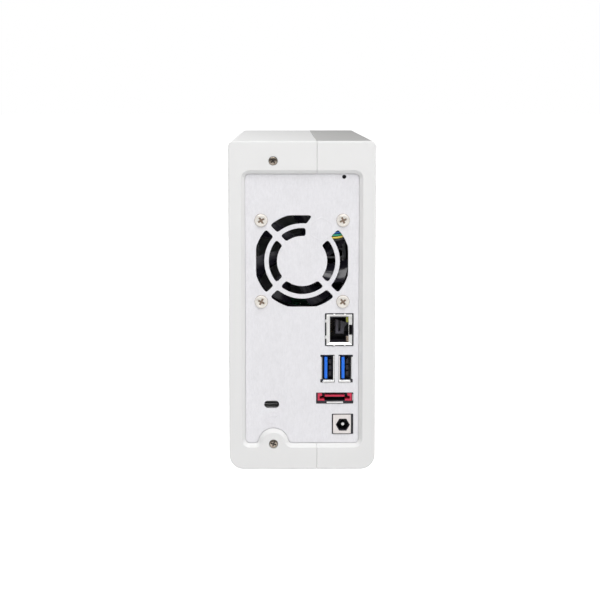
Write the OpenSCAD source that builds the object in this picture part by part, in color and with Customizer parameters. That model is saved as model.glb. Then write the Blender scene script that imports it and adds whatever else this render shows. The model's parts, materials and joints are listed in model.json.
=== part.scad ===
// Single-bay network attached storage unit.
// +Z is up, the front faces -Y and the socket side faces +Y.
// The origin is at the centre of the footprint, on the surface that the feet stand on.

/* [Body] */
// Width of the body
body_w = 72; // [72:1:76]
// Height of the body without its feet
body_h = 162; // [160:1:168]
// Depth of the body
body_d = 224.5; // [222:0.5:232]
// Height of the rubber feet
foot_h = 3.5; // [2:0.5:6]
// Radius of the lower long edges
bottom_r = 7.2; // [5:0.1:9]
// Radius of the upper long edges
top_r = 2.8; // [2:0.1:5]
// Distance of the seam between the shells from the middle, towards -X
seam_offset = 7.2; // [6.8:0.1:7.6]

/* [Shells] */
// Wall of the slide cover
cover_wall = 2.2; // [1.6:0.1:2.6]
// Thickness of the grey outer skins
skin_t = 1.2; // [1:0.1:1.4]
// Wall of the base shell under its skin
base_wall = 1.8; // [1.4:0.1:2]
// Thickness of the rim around the rear plate
rim_t = 2.5; // [2:0.1:3]
// Depth of the front bezel
bezel_d = 12; // [11:0.5:13]

/* [Rear plate] */
// Sheet thickness of the rear plate
plate_t = 1; // [0.8:0.1:1.2]
// Height of the fan axis above the surface it stands on
fan_z = 106.75; // [106:0.25:107.5]
// Side of the square fan
fan_side = 50; // [50:0.1:50.2]
// Depth of the fan
fan_d = 15; // [14.5:0.5:16]

/* [Drive] */
// Length of the hard drive
drive_l = 147; // [146:0.5:147]
// Width of the hard drive
drive_w = 101.6; // [101:0.1:101.9]
// Thickness of the hard drive
drive_t = 26.1; // [25.4:0.1:26.1]

/* [Moving parts] */
// Radius of the power button
button_r = 6; // [5:0.25:6.5]
// Number of fan blades
blade_count = 7; // [5:1:9]

/* [Hidden] */
$fn = 48;

// Colours
LIGHT = [0.90, 0.90, 0.90];
GREY = [0.72, 0.71, 0.70];
STEEL = [0.80, 0.80, 0.81];
BLACK = [0.08, 0.08, 0.09];
BOARD = [0.05, 0.30, 0.16];
BRASS = [0.80, 0.65, 0.30];

// Body limits
side_x = body_w / 2;
low_z = foot_h;
high_z = foot_h + body_h;
rear_y = body_d / 2;
front_y = -body_d / 2;
seam_x = -seam_offset;
seam_gap = 0.2;
shell_front_y = front_y + bezel_d;
rim_y = rear_y - rim_t;
base_inner_x = -side_x + skin_t + base_wall;
cut = 0.5;
least_r = 0.3;

// Rear plate and its window
window_x = 27.9;
window_low_z = low_z + 12.7;
window_high_z = high_z - 16;
window_r = 2.3;
bevel_w = 1.8;
plate_x = 31.5;
plate_low_z = low_z + 6;
plate_high_z = high_z - 5.5;
plate_y = rim_y - plate_t;
flange_x = -30.2;
flange_d = 10;
plate_screw_zs = [low_z + 20, high_z - 24];
cover_screw_x = 14.1;
cover_screw_zs = [low_z + 12.7, high_z - 9.7];
cover_screw_r = 1.25;
cover_head_r = 2.2;
boss_r = 7.5;

// Mainboard: its face with the components looks towards +X
board_x = -25.2;
board_t = 1.6;
board_front_y = -30;
board_rear_y = 107.5;
board_low_z = 12;
board_high_z = 152;
board_holes = [[-22, 20], [-22, 144], [86, 142], [72, 20]];
standoff_r = 3;
screw_shank_r = 1.15;
pilot_r = 1.2;
port_y = rear_y - 1.7;

// Fan
fan_y = plate_y - fan_d;
fan_bore_r = 24;
fan_hole = 20;
hub_r = 12.3;
blade_r = 23.2;
tube_r = 4.5;
bearing_r = 3;
shaft_r = 1;
strut_angles = [39, 159, 279];
grille_inner = [12.3, 16.3];
grille_outer = [18.5, 23.5];
grille_flat = 22.5;
spoke_w = 2.8;

// Sockets: lower and upper limits along X and Z
rj45_x = [board_x, -11.3];
rj45_z = [64.8, 80.9];
usb_x = [board_x, -8.7];
usb_z = [46, 60.4];
usb_openings = [[-15.5, -9.1], [-24.2, -17.75]];
esata_x = [board_x, -7];
esata_z = [36, 41.2];
jack_cut_x = [board_x, -14.8];
jack_cut_z = [20.75, 30.75];
jack_x = [-24.1, -15.3];
jack_z = [21.15, 30.45];
jack_hole = [-20.1, 25.45];
jack_hole_r = 3.5;
lock_slot = [15, 35.75];
reset_at = [-20.5, 148];
reset_r = 1;
shield_t = 0.3;
rj45_d = 17;
rj45_led_zs = [68, 77.8];
usb_d = 18;
esata_d = 15;
jack_d = 14;

// Drive and its bracket
drive_x = -3;
drive_front_y = -88;
drive_low_z = 32;
drive_high_z = drive_low_z + drive_w;
drive_rear_y = drive_front_y + drive_l;
drive_hole_ys = [drive_rear_y - 28.5, drive_rear_y - 130.1];
drive_hole_x = drive_x + 6.35;
drive_hole_r = 1.6;
grommet_h = 3.4;
bracket_x = -6;
bracket_t = 1;
bracket_front_y = -96;
bracket_rear_y = 60;
bracket_tab_x = -27;
bracket_screw_zs = [58, 106];
post_y = 50;
post_zs = [20, 144];
lid_x = drive_x + drive_t - 1.2;
riser_y = [66, 67.6];
riser_z = [34, 84];
sata_z = [42, 77];

// Front
strip_mid_x = (-side_x + seam_x) / 2;
button_z = 30;
button_y = front_y + 0.2;
led_zs = [108, 118, 128, 138];
front_board_y = shell_front_y - 1.6;
front_board_limits = [[-33, -11], [20, 146]];
switch_y = front_board_y - 3.5;

// Feet
foot_r = 6;
foot_x = 22;
foot_y = 84;

// Fan wires: each runs from the hub, across one strut, over the frame and on to the plug
wire_r = 0.55;
wire_pitch = 1.25;
wire_route = [
    [-8.4, 107.9, 117], [-11.5, 107.9, 118.3], [-14.5, 107.9, 118.65], [-17.5, 107.9, 118.8],
    [-20, 107.7, 119.5], [-22.4, 107.4, 121], [-23.7, 106.2, 122], [-24.1, 104, 122.5],
    [-24.1, 97, 122.6], [-23.8, 93, 122.6], [-23, 89.5, 122.6], [-22.8, 86, 122.6]
];
wire_spread = [[0.77, 0.64], [0.45, 0.9], [0.1, 1], [0, 1], [0, 1], [0, 1], [0, 1], [0, 1],
    [0, 1], [0, 1], [0, 1], [0, 1]];

// A box given by its limits along X, Y and Z
module box(x, y, z) {
    translate([x[0], y[0], z[0]]) cube([x[1] - x[0], y[1] - y[0], z[1] - z[0]]);
}

// A cylinder that starts at a point and runs towards +Y
module rod_y(at, r, length) {
    translate([at[0], at[1], at[2]]) rotate([-90, 0, 0]) cylinder(r = r, h = length);
}

// A cylinder that starts at a point and runs towards +X
module rod_x(at, r, length) {
    translate([at[0], at[1], at[2]]) rotate([0, 90, 0]) cylinder(r = r, h = length);
}

// A flat outline in X and Z, drawn out between two values of Y
module along_y(y0, y1) {
    translate([0, y1, 0]) rotate([90, 0, 0]) linear_extrude(y1 - y0) children();
}

// A flat outline in Y and Z, drawn out between two values of X
module along_x(x0, x1) {
    translate([x0, 0, 0]) rotate([90, 0, 90]) linear_extrude(x1 - x0) children();
}

// A rectangle with one corner radius below and another above
module rounded_outline(x, z, low_r, high_r) {
    polygon([
        [x[0], z[0] + low_r], [x[0] + low_r, z[0]], [x[1] - low_r, z[0]], [x[1], z[0] + low_r],
        [x[1], z[1] - high_r], [x[1] - high_r, z[1]], [x[0] + high_r, z[1]], [x[0], z[1] - high_r]
    ]);
    for (side = [x[0] + low_r, x[1] - low_r]) translate([side, z[0] + low_r]) circle(low_r);
    for (side = [x[0] + high_r, x[1] - high_r]) translate([side, z[1] - high_r]) circle(high_r);
}

// The body's cross-section, moved inwards by a distance
module body_outline(inset = 0) {
    rounded_outline(
        [-side_x + inset, side_x - inset], [low_z + inset, high_z - inset],
        max(bottom_r - inset, least_r), max(top_r - inset, least_r));
}

// A tube with the body's cross-section between two insets
module body_tube(outer, inner, y0, y1) {
    difference() {
        along_y(y0, y1) body_outline(outer);
        along_y(y0 - cut, y1 + cut) body_outline(inner);
    }
}

// The half of a shape on the base side or on the cover side of the seam
module base_side() {
    intersection() {
        children();
        box([-side_x - 1, seam_x - seam_gap], [front_y - 1, rear_y + 1], [0, high_z + 1]);
    }
}

module cover_side() {
    intersection() {
        children();
        box([seam_x + seam_gap, side_x + 1], [front_y - 1, rear_y + 1], [0, high_z + 1]);
    }
}

// The opening in the rear rims, wider at the outer face than at the plate
module rear_window() {
    hull() {
        along_y(rim_y - cut, rim_y)
            rounded_outline([-window_x, window_x], [window_low_z, window_high_z], window_r, window_r);
        along_y(rear_y, rear_y + 0.01)
            rounded_outline(
                [-window_x - bevel_w, window_x + bevel_w],
                [window_low_z - bevel_w, window_high_z + bevel_w],
                window_r + bevel_w, window_r + bevel_w);
    }
}

// A slot with round ends, its long side along the first axis of its outline
module slot_outline(length, width) {
    square([length - width, width], center = true);
    for (side = [-1, 1]) translate([side * (length - width) / 2, 0]) circle(width / 2);
}

// Air inlets: a row of slots along Y
module inlet_row(count, pitch, length, width) {
    for (i = [0 : count - 1])
        translate([(i - (count - 1) / 2) * pitch, 0]) rotate(90) slot_outline(length, width);
}

// The air inlets through the floor of one shell
module floor_inlets(x) {
    translate([x, 0, low_z - cut]) linear_extrude(4) rotate(90) inlet_row(11, 8, 18, 3);
}

// Base shell

module base_shell() color(LIGHT) {
    difference() {
        base_side() union() {
            difference() {
                along_y(rim_y, rear_y) body_outline();
                rear_window();
            }
            body_tube(skin_t, skin_t + base_wall, shell_front_y, rim_y + 0.01);
        }
        floor_inlets(-foot_x);
    }
    for (at = board_holes) board_standoff(base_inner_x, board_x - board_t, at);
    for (z = plate_screw_zs) board_standoff(base_inner_x, flange_x, [plate_y - flange_d / 2, z]);
    for (z = bracket_screw_zs) board_standoff(base_inner_x, bracket_tab_x, [bracket_front_y + 7, z]);
    // lips that guide the cover along the seam
    box([seam_x - 6, -3.5], [shell_front_y, rim_y - 4], [high_z - 4.3, high_z - skin_t - base_wall]);
    box([seam_x - 6, -3.5], [shell_front_y, rim_y - 4], [low_z + skin_t + base_wall, low_z + 4.3]);
}

// A round boss along X with a hole for a screw
module board_standoff(x0, x1, at) {
    difference() {
        rod_x([x0 - 0.3, at[0], at[1]], standoff_r, x1 - x0 + 0.3);
        rod_x([x0 + 0.5, at[0], at[1]], pilot_r, x1 - x0);
    }
}

module side_panel() color(GREY) {
    difference() {
        base_side() body_tube(0, skin_t, shell_front_y, rim_y);
        floor_inlets(-foot_x);
    }
}

module base_feet() color(BLACK) feet(-foot_x);

// Two feet under one shell, each with a shallow dish below
module feet(x) {
    for (side = [-1, 1]) translate([x, side * foot_y, 0]) difference() {
        cylinder(r = foot_r, h = foot_h);
        translate([0, 0, -cut]) cylinder(r = 3, h = cut + 0.6);
    }
}

// Slide cover

module cover() color(LIGHT) {
    difference() {
        union() {
            cover_side() union() {
                difference() {
                    along_y(rim_y + 0.1, rear_y) body_outline();
                    rear_window();
                }
                body_tube(0, cover_wall, shell_front_y + 0.3, rim_y + 0.2);
            }
            intersection() {
                translate([cover_screw_x, rear_y, cover_screw_zs[0]])
                    rotate([90, 0, 0]) cylinder(r1 = boss_r - bevel_w, r2 = boss_r, h = rim_t - 0.1);
                along_y(rim_y, rear_y) body_outline(1);
            }
        }
        for (z = cover_screw_zs) {
            rod_y([cover_screw_x, rim_y - cut, z], cover_screw_r + 0.25, rim_t + 2 * cut);
            rod_y([cover_screw_x, rear_y - 1.3, z], cover_head_r + 0.5, 2);
        }
        floor_inlets(foot_x);
        along_x(side_x - 4, side_x + 1) translate([-40, 84.5]) inlet_row(9, 7, 64, 2.6);
    }
}

module cover_screws() color(STEEL) {
    for (z = cover_screw_zs) translate([cover_screw_x, rear_y - 0.25, z]) rotate([90, 0, 0]) {
        difference() {
            cylinder(r = cover_head_r, h = 1.05);
            cross_recess(cover_head_r * 1.15, 0.7);
        }
        cylinder(r = cover_screw_r, h = 7);
    }
}

module cover_feet() color(BLACK) feet(foot_x);

// The cross in a screw's head, cut from z = 0 downwards into the head
module cross_recess(length, depth) {
    width = length / 4;
    for (turn = [0, 90]) rotate(turn)
        translate([-length / 2, -width / 2, -cut]) cube([length, width, depth + cut]);
}

// Front

module front_bezel() color(LIGHT) {
    difference() {
        union() {
            cover_side() union() {
                along_y(front_y, front_y + 2.5) body_outline();
                body_tube(0, cover_wall, front_y + 2, shell_front_y);
            }
            base_side() union() {
                along_y(front_y + skin_t, front_y + 3) body_outline(skin_t);
                body_tube(skin_t, skin_t + base_wall, front_y + 2, shell_front_y);
            }
            box([seam_x - 3, seam_x + 3], [front_y + 1.3, front_y + 2.5], [low_z + 3, high_z - 3]);
        }
        rod_y([strip_mid_x, front_y - 1, button_z], button_r + 0.3, 8);
        for (z = led_zs) led_window(z, 0.1);
    }
    for (z = [50, 96]) difference() {
        rod_y([-30, front_y + 2.9, z], 2.5, front_board_y - front_y - 2.9);
        rod_y([-30, front_y + 4, z], 1, 20);
    }
}

// The window of one indicator, through the front walls
module led_window(z, gap) {
    box(
        [strip_mid_x - 1 - gap, strip_mid_x + 1 + gap], [front_y - 1, front_y + 6],
        [z - 3 - gap, z + 3 + gap]);
}

module front_strip() color(GREY) {
    difference() {
        base_side() union() {
            along_y(front_y, front_y + skin_t) body_outline();
            body_tube(0, skin_t, front_y + skin_t - 0.01, shell_front_y);
        }
        rod_y([strip_mid_x, front_y - 1, button_z], button_r + 0.3, 8);
        for (z = led_zs) led_window(z, 0.1);
    }
}

module light_pipes() color([0.9, 0.95, 0.9, 0.6]) {
    for (z = led_zs) {
        box([strip_mid_x - 1, strip_mid_x + 1], [front_y + 0.05, front_board_y - 1.3], [z - 3, z + 3]);
        box([strip_mid_x - 2, strip_mid_x + 2], [front_y + 3.2, front_y + 4.2], [z - 4, z + 4]);
    }
}

module front_board() color(BOARD) {
    difference() {
        box(front_board_limits[0], [front_board_y, front_board_y + 1.6], front_board_limits[1]);
        for (z = [50, 96]) rod_y([-30, front_board_y - 1, z], 1.3, 4);
        box([-16, -10], [front_board_y - 1, front_board_y + 3], [55, 92]);
    }
}

module indicator_leds() color("white") {
    for (z = led_zs)
        box([strip_mid_x - 0.8, strip_mid_x + 0.8], [front_board_y - 1.1, front_board_y], [z - 1.6, z + 1.6]);
}

module power_switch() color(BLACK) {
    difference() {
        box([strip_mid_x - 3, strip_mid_x + 3], [switch_y, front_board_y], [button_z - 3, button_z + 3]);
        rod_y([strip_mid_x, switch_y - 1, button_z], 2, 2.6);
    }
}

module power_button() color(STEEL) {
    rod_y([strip_mid_x, button_y, button_z], button_r, 3);
    rod_y([strip_mid_x, front_y + 3.2, button_z], button_r + 1.4, 1);
    rod_y([strip_mid_x, front_y + 4.1, button_z], 1.7, switch_y + 0.5 - front_y - 4.1);
}

// Flat cable from the front board to the mainboard, with a plug at each end
module front_cable() color([0.85, 0.85, 0.82]) {
    low = 116;
    start_y = front_board_y + 4.6;
    end_y = board_front_y + 6;
    cable_t = 0.3;
    box([-32, -28], [front_board_y + 1.6, start_y], [low - 1, low + 11]);
    box([-30.2, -29.9], [start_y, -70], [low, low + 10]);
    translate([0, 0, low]) linear_extrude(10) polygon([
        [-30.2, -70], [-30.2 + cable_t, -70], [-22.7 + cable_t, -50],
        [-22.7 + cable_t, end_y], [-22.7, end_y], [-22.7, -50]
    ]);
    box([board_x, -20.2], [end_y, end_y + 5], [low - 1, low + 11]);
}

// Rear plate

// The parts of one ring of the grille, between two radii and inside the flats
module grille_ring(radii) {
    intersection() {
        difference() {
            circle(radii[1]);
            circle(radii[0]);
        }
        square(2 * grille_flat, center = true);
    }
}

module grille_slots() {
    difference() {
        union() {
            grille_ring(grille_inner);
            grille_ring(grille_outer);
        }
        for (turn = [45, 135]) rotate(turn) square([2 * fan_side, spoke_w], center = true);
        // the slots end early beside the stamped mark
        polygon([[-1.5, 17], [-4.8, 22.6], [-12, 26], [-19, 19], [-12.5, 12.5]]);
        polygon([[-1.7, 11], [-1.7, 17], [-12.5, 17], [-12.5, 11]]);
    }
}

module rear_plate() color(STEEL) {
    difference() {
        union() {
            along_y(plate_y, rim_y)
                rounded_outline([-plate_x, plate_x], [plate_low_z, plate_high_z], 3, 2);
            box(
                [flange_x, flange_x + plate_t], [plate_y - flange_d, rim_y - 0.01],
                [plate_screw_zs[0] - 7, plate_screw_zs[1] + 7]);
        }
        along_y(plate_y - cut, rim_y + cut) {
            translate([0, fan_z]) grille_slots();
            translate(lock_slot) slot_outline(7.3, 3.2);
            translate(reset_at) circle(reset_r);
            for (x = [-1, 1], z = [-1, 1]) translate([x * fan_hole, fan_z + z * fan_hole]) circle(2.2);
            for (z = cover_screw_zs) translate([cover_screw_x, z]) circle(cover_screw_r + 0.2);
            socket_cut(rj45_x, rj45_z);
            socket_cut(usb_x, usb_z);
            socket_cut(esata_x, esata_z);
            socket_cut(jack_cut_x, jack_cut_z);
        }
        for (z = plate_screw_zs)
            rod_x([flange_x - cut, plate_y - flange_d / 2, z], screw_shank_r + 0.25, plate_t + 2 * cut);
    }
}

// A rectangular cut-out with a little room around a socket
module socket_cut(x, z) {
    translate([x[0] - 0.1, z[0] - 0.1]) square([x[1] - x[0] + 0.2, z[1] - z[0] + 0.2]);
}

// A pan-head screw whose head stands on the plane x = 0 and whose shank runs towards -X
module board_screw(length) {
    difference() {
        rod_x([0, 0, 0], 2.5, 1.5);
        translate([1.5, 0, 0]) rotate([0, -90, 0]) cross_recess(2.8, 0.8);
    }
    rod_x([-length, 0, 0], screw_shank_r, length);
}

module plate_screws() color(STEEL) {
    for (z = plate_screw_zs)
        translate([flange_x + plate_t, plate_y - flange_d / 2, z]) board_screw(3);
}

// Fan

module fan_frame() color(BLACK) {
    difference() {
        union() {
            difference() {
                along_y(fan_y, plate_y) translate([0, fan_z])
                    rounded_outline([-fan_side / 2, fan_side / 2], [-fan_side / 2, fan_side / 2], 3, 3);
                rod_y([0, fan_y - cut, fan_z], fan_bore_r, fan_d + 2 * cut);
            }
            rod_y([0, plate_y - 3.1, fan_z], hub_r, 3.1);
            rod_y([0, fan_y + 3, fan_z], tube_r, fan_d - 4);
            for (angle = strut_angles) translate([0, 0, fan_z]) rotate([0, angle - 180, 0])
                box([hub_r - 1, fan_bore_r + 0.5], [plate_y - 3.1, plate_y - 1.6], [-2.6, 2.6]);
        }
        rod_y([0, fan_y - cut, fan_z], bearing_r, fan_d - 0.5);
        for (x = [-1, 1], z = [-1, 1])
            rod_y([x * fan_hole, fan_y - cut, fan_z + z * fan_hole], 2.15, fan_d + 2 * cut);
        // channels for the wires
        box([-26, -16.5], [plate_y - 1.9, plate_y + cut], [116.4, 125.6]);
        box([-26, -22], [fan_y - cut, plate_y + cut], [119.2, 125.6]);
    }
}

module fan_stator() color(BRASS) {
    difference() {
        rod_y([0, fan_y + 4.5, fan_z], 10, 6.5);
        rod_y([0, fan_y, fan_z], tube_r + 0.02, fan_d);
        for (i = [0 : 3]) translate([0, 0, fan_z]) rotate([0, i * 90 + 45, 0])
            box([6, 12], [fan_y + 5.5, fan_y + 10], [-1.2, 1.2]);
    }
}

module fan_bearing() color(BRASS) {
    difference() {
        rod_y([0, fan_y + 3, fan_z], bearing_r, 9);
        rod_y([0, fan_y + 2, fan_z], shaft_r + 0.03, 12);
    }
}

module fan_shaft() color(STEEL) rod_y([0, fan_y + 1.9, fan_z], shaft_r, 10.5);

module fan_rotor() color(BLACK) {
    difference() {
        rod_y([0, fan_y + 0.6, fan_z], hub_r, 10.8);
        rod_y([0, fan_y + 1.9, fan_z], hub_r - 1.3, 10);
    }
    for (i = [0 : blade_count - 1]) translate([0, 0, fan_z]) rotate([0, i * 360 / blade_count, 0])
        translate([0, fan_y + 6, 0]) rotate([38, 0, 0])
            box([hub_r - 0.6, blade_r - 1], [-0.5, 0.5], [-6.5, 6.5]);
}

module fan_screws() color([0.85, 0.83, 0.76]) {
    for (x = [-1, 1], z = [-1, 1])
        translate([x * fan_hole, rim_y, fan_z + z * fan_hole]) rotate([90, 0, 0]) {
            difference() {
                translate([0, 0, -1.3]) cylinder(r = 3, h = 1.3);
                translate([0, 0, -1.3]) cross_recess(3.4, 0.9);
            }
            cylinder(r = 2, h = 10);
        }
}

// Points of one wire's route, moved sideways from the middle of the ribbon of four
function wire_points(i) = [
    for (k = [0 : len(wire_route) - 1])
        wire_route[k] + (i - 1.5) * wire_pitch * [wire_spread[k][0], 0, wire_spread[k][1]]
];

function direction(points, k) =
    let (a = points[max(k - 1, 0)], b = points[min(k + 1, len(points) - 1)]) (b - a) / norm(b - a);

// A ring of points around a route point, square to the route
function ring(points, k, r, sides) =
    let (
        d = direction(points, k),
        u0 = cross(d, [0, 0, 1]),
        u = u0 / norm(u0),
        v = cross(d, u)
    )
    [for (s = [0 : sides - 1]) points[k] + r * (cos(s * 360 / sides) * u + sin(s * 360 / sides) * v)];

// A tube swept along a route
module swept_tube(points, r, sides = 8) {
    last = len(points) - 1;
    rings = [for (k = [0 : last]) each ring(points, k, r, sides)];
    walls = [
        for (k = [0 : last - 1], s = [0 : sides - 1])
            [k * sides + s, k * sides + (s + 1) % sides,
             (k + 1) * sides + (s + 1) % sides, (k + 1) * sides + s]
    ];
    triangles = [for (w = walls) each [[w[0], w[1], w[2]], [w[0], w[2], w[3]]]];
    start_cap = [for (s = [sides - 1 : -1 : 0]) s];
    end_cap = [for (s = [0 : sides - 1]) last * sides + s];
    polyhedron(rings, concat(triangles, [start_cap, end_cap]));
}

module fan_wire_black() color(BLACK) swept_tube(wire_points(0), wire_r);
module fan_wire_yellow() color("gold") swept_tube(wire_points(1), wire_r);
module fan_wire_green() color("green") swept_tube(wire_points(2), wire_r);
module fan_wire_blue() color("royalblue") swept_tube(wire_points(3), wire_r);

module fan_plug() color("white") box([-24.9, -20.7], [79, 86], [117.4, 127.8]);

module fan_header() color("white") {
    box([board_x, -20.5], [74, 79], [117.2, 128]);
    box([board_x, -24.9], [79, 84], [117.2, 128]);
}

// Mainboard

module mainboard() color(BOARD) {
    difference() {
        box([board_x - board_t, board_x], [board_front_y, board_rear_y], [board_low_z, board_high_z]);
        for (at = board_holes) rod_x([board_x - 4, at[0], at[1]], screw_shank_r + 0.35, 6);
    }
}

module board_screws() color(STEEL) {
    for (at = board_holes) translate([board_x, at[0], at[1]]) board_screw(7);
}

module heatsink() color(STEEL) {
    fin_count = 9;
    box([-23.6, -21.6], [22, 58], [85, 121]);
    for (i = [0 : fin_count - 1]) box([-21.7, -12], [22, 58], [85 + i * 4.35, 86.2 + i * 4.35]);
}

module board_chips() color(BLACK) {
    box([board_x, -23.6], [28, 52], [91, 115]);
    for (z = [60, 74]) box([board_x, board_x + 1.1], [30, 41], [z, z + 8]);
    box([board_x, board_x + 1], [-10, 4], [100, 120]);
    box([board_x, board_x + 1], [76, 84], [68, 76]);
    box([board_x, board_x + 1], [78, 86], [50, 58]);
}

module capacitors() color([0.2, 0.2, 0.25]) {
    for (at = [[92, 34], [84, 26], [84, 38], [14, 30], [4, 30], [14, 42]])
        rod_x([board_x, at[0], at[1]], 3.15, 7.7);
}

module inductors() color([0.25, 0.25, 0.26]) {
    for (at = [[26, 30], [38, 30], [-8, 42]])
        box([board_x, board_x + 4], [at[0], at[0] + 7], [at[1], at[1] + 7]);
}

module clock_battery() color(STEEL) rod_x([board_x, -8, 76], 10, 3.4);

// A thin metal box around a socket, open towards +Y, with a wall at its back
module socket_shield(x, y, z, wall) {
    difference() {
        box(x, y, z);
        box([x[0] + wall, x[1] - wall], [y[0] + wall, y[1] + cut], [z[0] + wall, z[1] - wall]);
    }
}

module rj45_shield() color(STEEL) {
    socket_shield(rj45_x, [port_y - rj45_d, port_y], rj45_z, shield_t);
}

// The cavity for an RJ45 plug: the body of the plug, then the two steps of its latch
module rj45_cavity() {
    mid_z = (rj45_z[0] + rj45_z[1]) / 2;
    y = [port_y - 12.5, port_y + cut];
    box([-21.6, -13.4], y, [mid_z - 6, mid_z + 6]);
    box([-23, -21.5], y, [mid_z - 3.2, mid_z + 3.2]);
    box([-24.2, -22.9], y, [mid_z - 2.2, mid_z + 2.2]);
}

module rj45_insert() color(BLACK) {
    difference() {
        box(
            [rj45_x[0] + shield_t, rj45_x[1] - shield_t], [port_y - rj45_d + shield_t, port_y - 0.3],
            [rj45_z[0] + shield_t, rj45_z[1] - shield_t]);
        rj45_cavity();
        for (z = rj45_led_zs) rj45_led(z);
    }
}

module rj45_led(z) {
    box([-23.9, -22], [port_y - 8, port_y - 0.2], [z - 1.5, z + 1.5]);
}

module rj45_leds() color("gold") {
    for (z = rj45_led_zs) rj45_led(z);
}

module rj45_contacts() color(BRASS) {
    mid_z = (rj45_z[0] + rj45_z[1]) / 2;
    for (i = [0 : 7]) translate([0, 0, mid_z + (i - 3.5) * 1.02 - 0.2]) linear_extrude(0.4)
        polygon([[-13.4, port_y - 3], [-13.4, port_y - 3.4], [-15.6, port_y - 11], [-15.9, port_y - 10.8]]);
}

module usb_shield() color(STEEL) {
    y = [port_y - usb_d, port_y];
    socket_shield(usb_x, y, usb_z, shield_t);
    box(
        [usb_openings[1][1], usb_openings[0][0]], [port_y - 11, port_y],
        [usb_z[0] + shield_t, usb_z[1] - shield_t]);
}

module usb_insulator() color([0.1, 0.35, 0.8]) {
    box(
        [usb_x[0] + shield_t, usb_x[1] - shield_t], [port_y - usb_d + shield_t, port_y - 11],
        [usb_z[0] + shield_t, usb_z[1] - shield_t]);
    for (opening = usb_openings)
        box([opening[1] - 3.2, opening[1] - 1.2], [port_y - 11.1, port_y - 0.8], [48.6, 59.3]);
}

module esata_shield() color(STEEL) {
    socket_shield(esata_x, [port_y - esata_d, port_y], esata_z, shield_t);
}

module esata_insert() color([0.75, 0.1, 0.1]) {
    difference() {
        box(
            [esata_x[0] + shield_t, esata_x[1] - shield_t], [port_y - esata_d + shield_t, port_y - 0.4],
            [esata_z[0] + shield_t, esata_z[1] - shield_t]);
        box([-22.8, -9.4], [port_y - 8, port_y + cut], [36.9, 40.3]);
    }
    box([-20.8, -10.9], [port_y - 8.1, port_y - 0.9], [38, 39.2]);
}

module dc_jack_body() color([0.93, 0.91, 0.85]) {
    difference() {
        union() {
            box(jack_x, [port_y - jack_d, port_y - 0.2], jack_z);
            box([board_x, jack_x[0] + 0.1], [port_y - jack_d, port_y - 4], jack_z);
        }
        translate([jack_hole[0], port_y - 10, jack_hole[1]]) rotate([-90, 0, 0])
            cylinder(r = jack_hole_r, h = 12, $fn = 6);
        rod_y([jack_hole[0], port_y - 13, jack_hole[1]], 1, 4);
    }
}

module dc_jack_pin() color(STEEL) rod_y([jack_hole[0], port_y - 13, jack_hole[1]], 1, 11.6);

module reset_switch() color(BLACK) {
    difference() {
        box([board_x, -17.4], [99, 104.5], [reset_at[1] - 3.1, reset_at[1] + 3.1]);
        rod_y([reset_at[0], 101.5, reset_at[1]], 1.2, 5);
    }
}

module reset_plunger() color(BLACK) rod_y([reset_at[0], 102.5, reset_at[1]], 0.9, 5);

// Riser for the drive

module riser_slot() color(BLACK) {
    difference() {
        box([board_x, -17.2], [63.4, 70.2], [riser_z[0] - 2, riser_z[1] + 2]);
        box([-22, -16], [riser_y[0] - 0.05, riser_y[1] + 0.05], [riser_z[0] - 0.1, riser_z[1] + 0.1]);
    }
}

module drive_board() color(BOARD) box([-21.9, 16], riser_y, riser_z);

module sata_socket() color(BLACK) {
    difference() {
        box([drive_x - 1.6, drive_x + 6], [drive_rear_y + 0.3, riser_y[0]], sata_z);
        box(
            [drive_x + 0.6, drive_x + 3.4], [drive_rear_y, drive_rear_y + 4.5],
            [sata_z[0] + 1.5, sata_z[1] - 1.5]);
    }
}

// Drive bracket and its fasteners

module drive_bracket() color(STEEL) {
    plate_z = [drive_low_z - grommet_h - bracket_t, drive_high_z + grommet_h + bracket_t];
    tab_z = [46, 118];
    difference() {
        union() {
            box([bracket_x, bracket_x + bracket_t], [bracket_front_y, bracket_rear_y], plate_z);
            for (z = post_zs)
                box([bracket_x, bracket_x + bracket_t], [post_y - 6, post_y + 6], [z - 10, z + 10]);
            for (z = [plate_z[0], plate_z[1] - bracket_t])
                box([bracket_x, 18], [bracket_front_y + 6, post_y - 10], [z, z + bracket_t]);
            box(
                [bracket_tab_x, bracket_x + bracket_t],
                [bracket_front_y, bracket_front_y + bracket_t], tab_z);
            box([bracket_tab_x, bracket_tab_x + bracket_t], [bracket_front_y, bracket_front_y + 12], tab_z);
        }
        for (y = drive_hole_ys, z = [plate_z[0] - cut, plate_z[1] - bracket_t - cut])
            translate([drive_hole_x, y, z]) cylinder(r = 2.2, h = bracket_t + 2 * cut);
        for (z = post_zs) rod_x([bracket_x - cut, post_y, z], 1.6, 3);
        for (z = bracket_screw_zs) rod_x([bracket_tab_x - cut, bracket_front_y + 7, z], 1.4, 3);
        // windows that save weight and let air pass
        for (y = [-62, -14, 34]) along_x(bracket_x - cut, bracket_x + 2 * bracket_t)
            translate([y, (plate_z[0] + plate_z[1]) / 2]) rotate(90) slot_outline(64, 30);
    }
}

module bracket_posts() color(BRASS) {
    for (z = post_zs) translate([board_x, post_y, z]) rotate([0, 90, 0]) difference() {
        cylinder(r = 3, h = bracket_x - board_x, $fn = 6);
        translate([0, 0, bracket_x - board_x - 8]) cylinder(r = pilot_r, h = 9);
    }
}

module bracket_screws() color(STEEL) {
    for (z = post_zs) translate([bracket_x + bracket_t, post_y, z]) board_screw(6);
    for (z = bracket_screw_zs) translate([bracket_tab_x + bracket_t, bracket_front_y + 7, z]) board_screw(5);
}

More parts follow.
